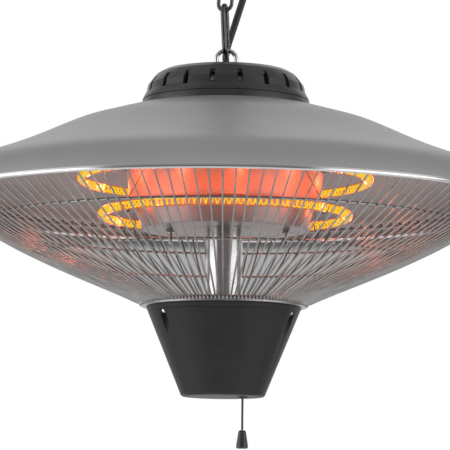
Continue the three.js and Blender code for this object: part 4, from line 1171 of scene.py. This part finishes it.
def softBand(tree, where, turned, halfWidth):
    # an upright soft panel of light on the horizon, turned so many degrees from the front
    angle = radians(turned)
    towards = (sin(angle), -cos(angle), 0)
    level = put(tree, "VectorMath", {0: where, 1: (1, 1, 0)}, operation="MULTIPLY").outputs[0]
    level = put(tree, "VectorMath", {0: level}, operation="NORMALIZE").outputs[0]
    facing = put(tree, "VectorMath", {0: level, 1: towards}, operation="DOT_PRODUCT").outputs["Value"]
    edge, inner = (cos(radians(halfWidth + soft)) for soft in (5, -5))
    share = remap(tree, along(tree, where, "Z"), -0.5, 0.5)
    up = ramp(tree, share, [(0.0, grey(0.7)), (0.3, grey(1)), (0.8, grey(1)), (1.0, grey(0.2))])
    return sums(tree, "MULTIPLY", remap(tree, facing, edge, inner), up)


def backdropTone(tree, where):
    # white, but grey behind the guard as in the photograph
    parts = put(tree, "SeparateXYZ", {"Vector": where}).outputs
    ahead = sums(tree, "MULTIPLY", sums(tree, "MAXIMUM", parts["Y"], 0.01), 0.001)
    across = sums(tree, "ABSOLUTE", sums(tree, "DIVIDE", parts["X"], ahead))
    up = sums(tree, "DIVIDE", parts["Z"], ahead)
    room = sums(tree, "SUBTRACT", sums(tree, "MULTIPLY_ADD", up, patch["slope"], -patch["inset"]), across)
    inside = remap(tree, room)
    for limit, step in (("top", -2), ("low", 1)):
        inside = sums(tree, "MULTIPLY", inside, remap(tree, up, patch[limit], patch[limit] + step))
    square = sums(tree, "MULTIPLY", across, across)
    bent = sums(tree, "SUBTRACT", up, sums(tree, "MULTIPLY", square, patch["bend"]))
    tones = [(at, grey(value)) for at, value in patch["tones"]]
    tone = ramp(tree, remap(tree, bent, tones[0][0], tones[-1][0]), rampStops(tones))
    return tint(tree, inside, grey(1.0), tone)


def raySorts(tree):
    # the rays of the camera, and those that metal reflects or glass lets through
    path = put(tree, "LightPath").outputs
    return path["Is Camera Ray"], sums(tree, "MAXIMUM", path["Is Glossy Ray"], path["Is Transmission Ray"])


def makeFloor():
    drop, radius = studio["floorDrop"], studio["floorRadius"]
    bm = bmesh.new()
    bmesh.ops.create_circle(bm, cap_ends=True, segments=96, radius=radius)
    bmesh.ops.translate(bm, verts=bm.verts, vec=(0, 0, -drop))
    floor = place("floor", bm)
    look = bpy.data.materials.new("paleFloor")
    tree = emptyTree(look)
    where = put(tree, "TexCoord").outputs["Object"]
    colour = ramp(tree, noise(tree, where, 3.0, 4.0), [(0.3, grey(0.78)), (0.7, grey(0.82))])
    # white to the eye and in metal and glass, with the shadow kept, and no hard edge
    lift = sums(tree, "MULTIPLY", sums(tree, "MAXIMUM", *raySorts(tree)), studio["floorLift"])
    surface = put(tree, "BsdfPrincipled", {
        "Base Color": colour, "Roughness": 0.7, "Emission Color": grey(1.0), "Emission Strength": lift,
    })
    reach = put(tree, "VectorMath", {0: where}, operation="LENGTH").outputs["Value"]
    fade = remap(tree, reach, hypot(radius * 0.6, drop), hypot(radius, drop))
    clear = put(tree, "BsdfTransparent").outputs[0]
    both = put(tree, "MixShader", {0: fade, 1: surface.outputs["BSDF"], 2: clear}).outputs[0]
    put(tree, "OutputMaterial", {"Surface": both})
    floor.data.materials.append(look)


def makeWorld():
    world = bpy.data.worlds.new("studio")
    bpy.context.scene.world = world
    tree = emptyTree(world)
    where = put(tree, "TexCoord").outputs["Generated"]
    sky = [(at, grey(value)) for at, value in studio["sky"]]
    total = ramp(tree, remap(tree, along(tree, where, "Z"), -1.0, 1.0), sky)
    total = tint(tree, softBand(tree, where, 0, studio["frontHalf"]), total, grey(studio["front"]))
    for turned, halfWidth, bright in studio["bands"]:
        extra = sums(tree, "MULTIPLY", softBand(tree, where, turned, halfWidth), bright)
        total = put(tree, "VectorMath", {0: total, 1: extra}, operation="ADD").outputs[0]
    soft = put(tree, "Background", {"Color": total, "Strength": 1.0}).outputs[0]
    white = put(tree, "Background", {"Color": backdropTone(tree, where), "Strength": 1.0}).outputs[0]
    # metal and glass show the white backdrop where they face it
    eye, shown = raySorts(tree)
    shown = sums(tree, "MULTIPLY", shown, remap(tree, along(tree, where, "Y"), 0.5, 0.8))
    seen = sums(tree, "MAXIMUM", eye, shown)
    both = put(tree, "MixShader", {0: seen, 1: soft, 2: white}).outputs[0]
    put(tree, "OutputWorld", {"Surface": both})


def addLight(name, kind, energy, spot):
    lamp = bpy.data.objects.new(name, bpy.data.lights.new(name, kind))
    lamp.data.energy = energy
    lamp.location = spot
    bpy.context.collection.objects.link(lamp)
    return lamp


def makeLights():
    for name, (spot, aim, size, power) in studio["lights"].items():
        lamp = addLight(name, "AREA", power, spot)
        lamp.data.shape = "RECTANGLE"
        lamp.data.size, lamp.data.size_y = size
        lamp.visible_glossy = name == "topLight"
        lamp.rotation_euler = (Vector((0, 0, aim)) - Vector(spot)).to_track_quat("-Z", "Y").to_euler()
    for which in ("upper", "lower"):
        radius, drop = lamps[which]["radius"], lamps[which]["drop"] + heaterDrop
        for i in range(lampGlow["count"]):
            # every other one lights the metal, and the rest only show in it
            lights = i % 2 == 1
            angle = 2 * pi * (i + 0.5) / lampGlow["count"]
            energy = lampGlow[which] * (1.5 if lights else 2.4)
            spot = addLight("lampGlow", "POINT", energy, around(radius, angle, drop))
            spot.data.color = lampGlow["colour"]
            spot.data.shadow_soft_size = lampGlow["radius"]
            spot.visible_diffuse, spot.visible_glossy = lights, not lights
            # it moves with the heater
            spot.parent = bpy.data.objects["guardRimRing"]


makeFloor()
makeWorld()
makeLights()
bpy.context.scene.view_settings.view_transform = "Standard"
print("studio made")
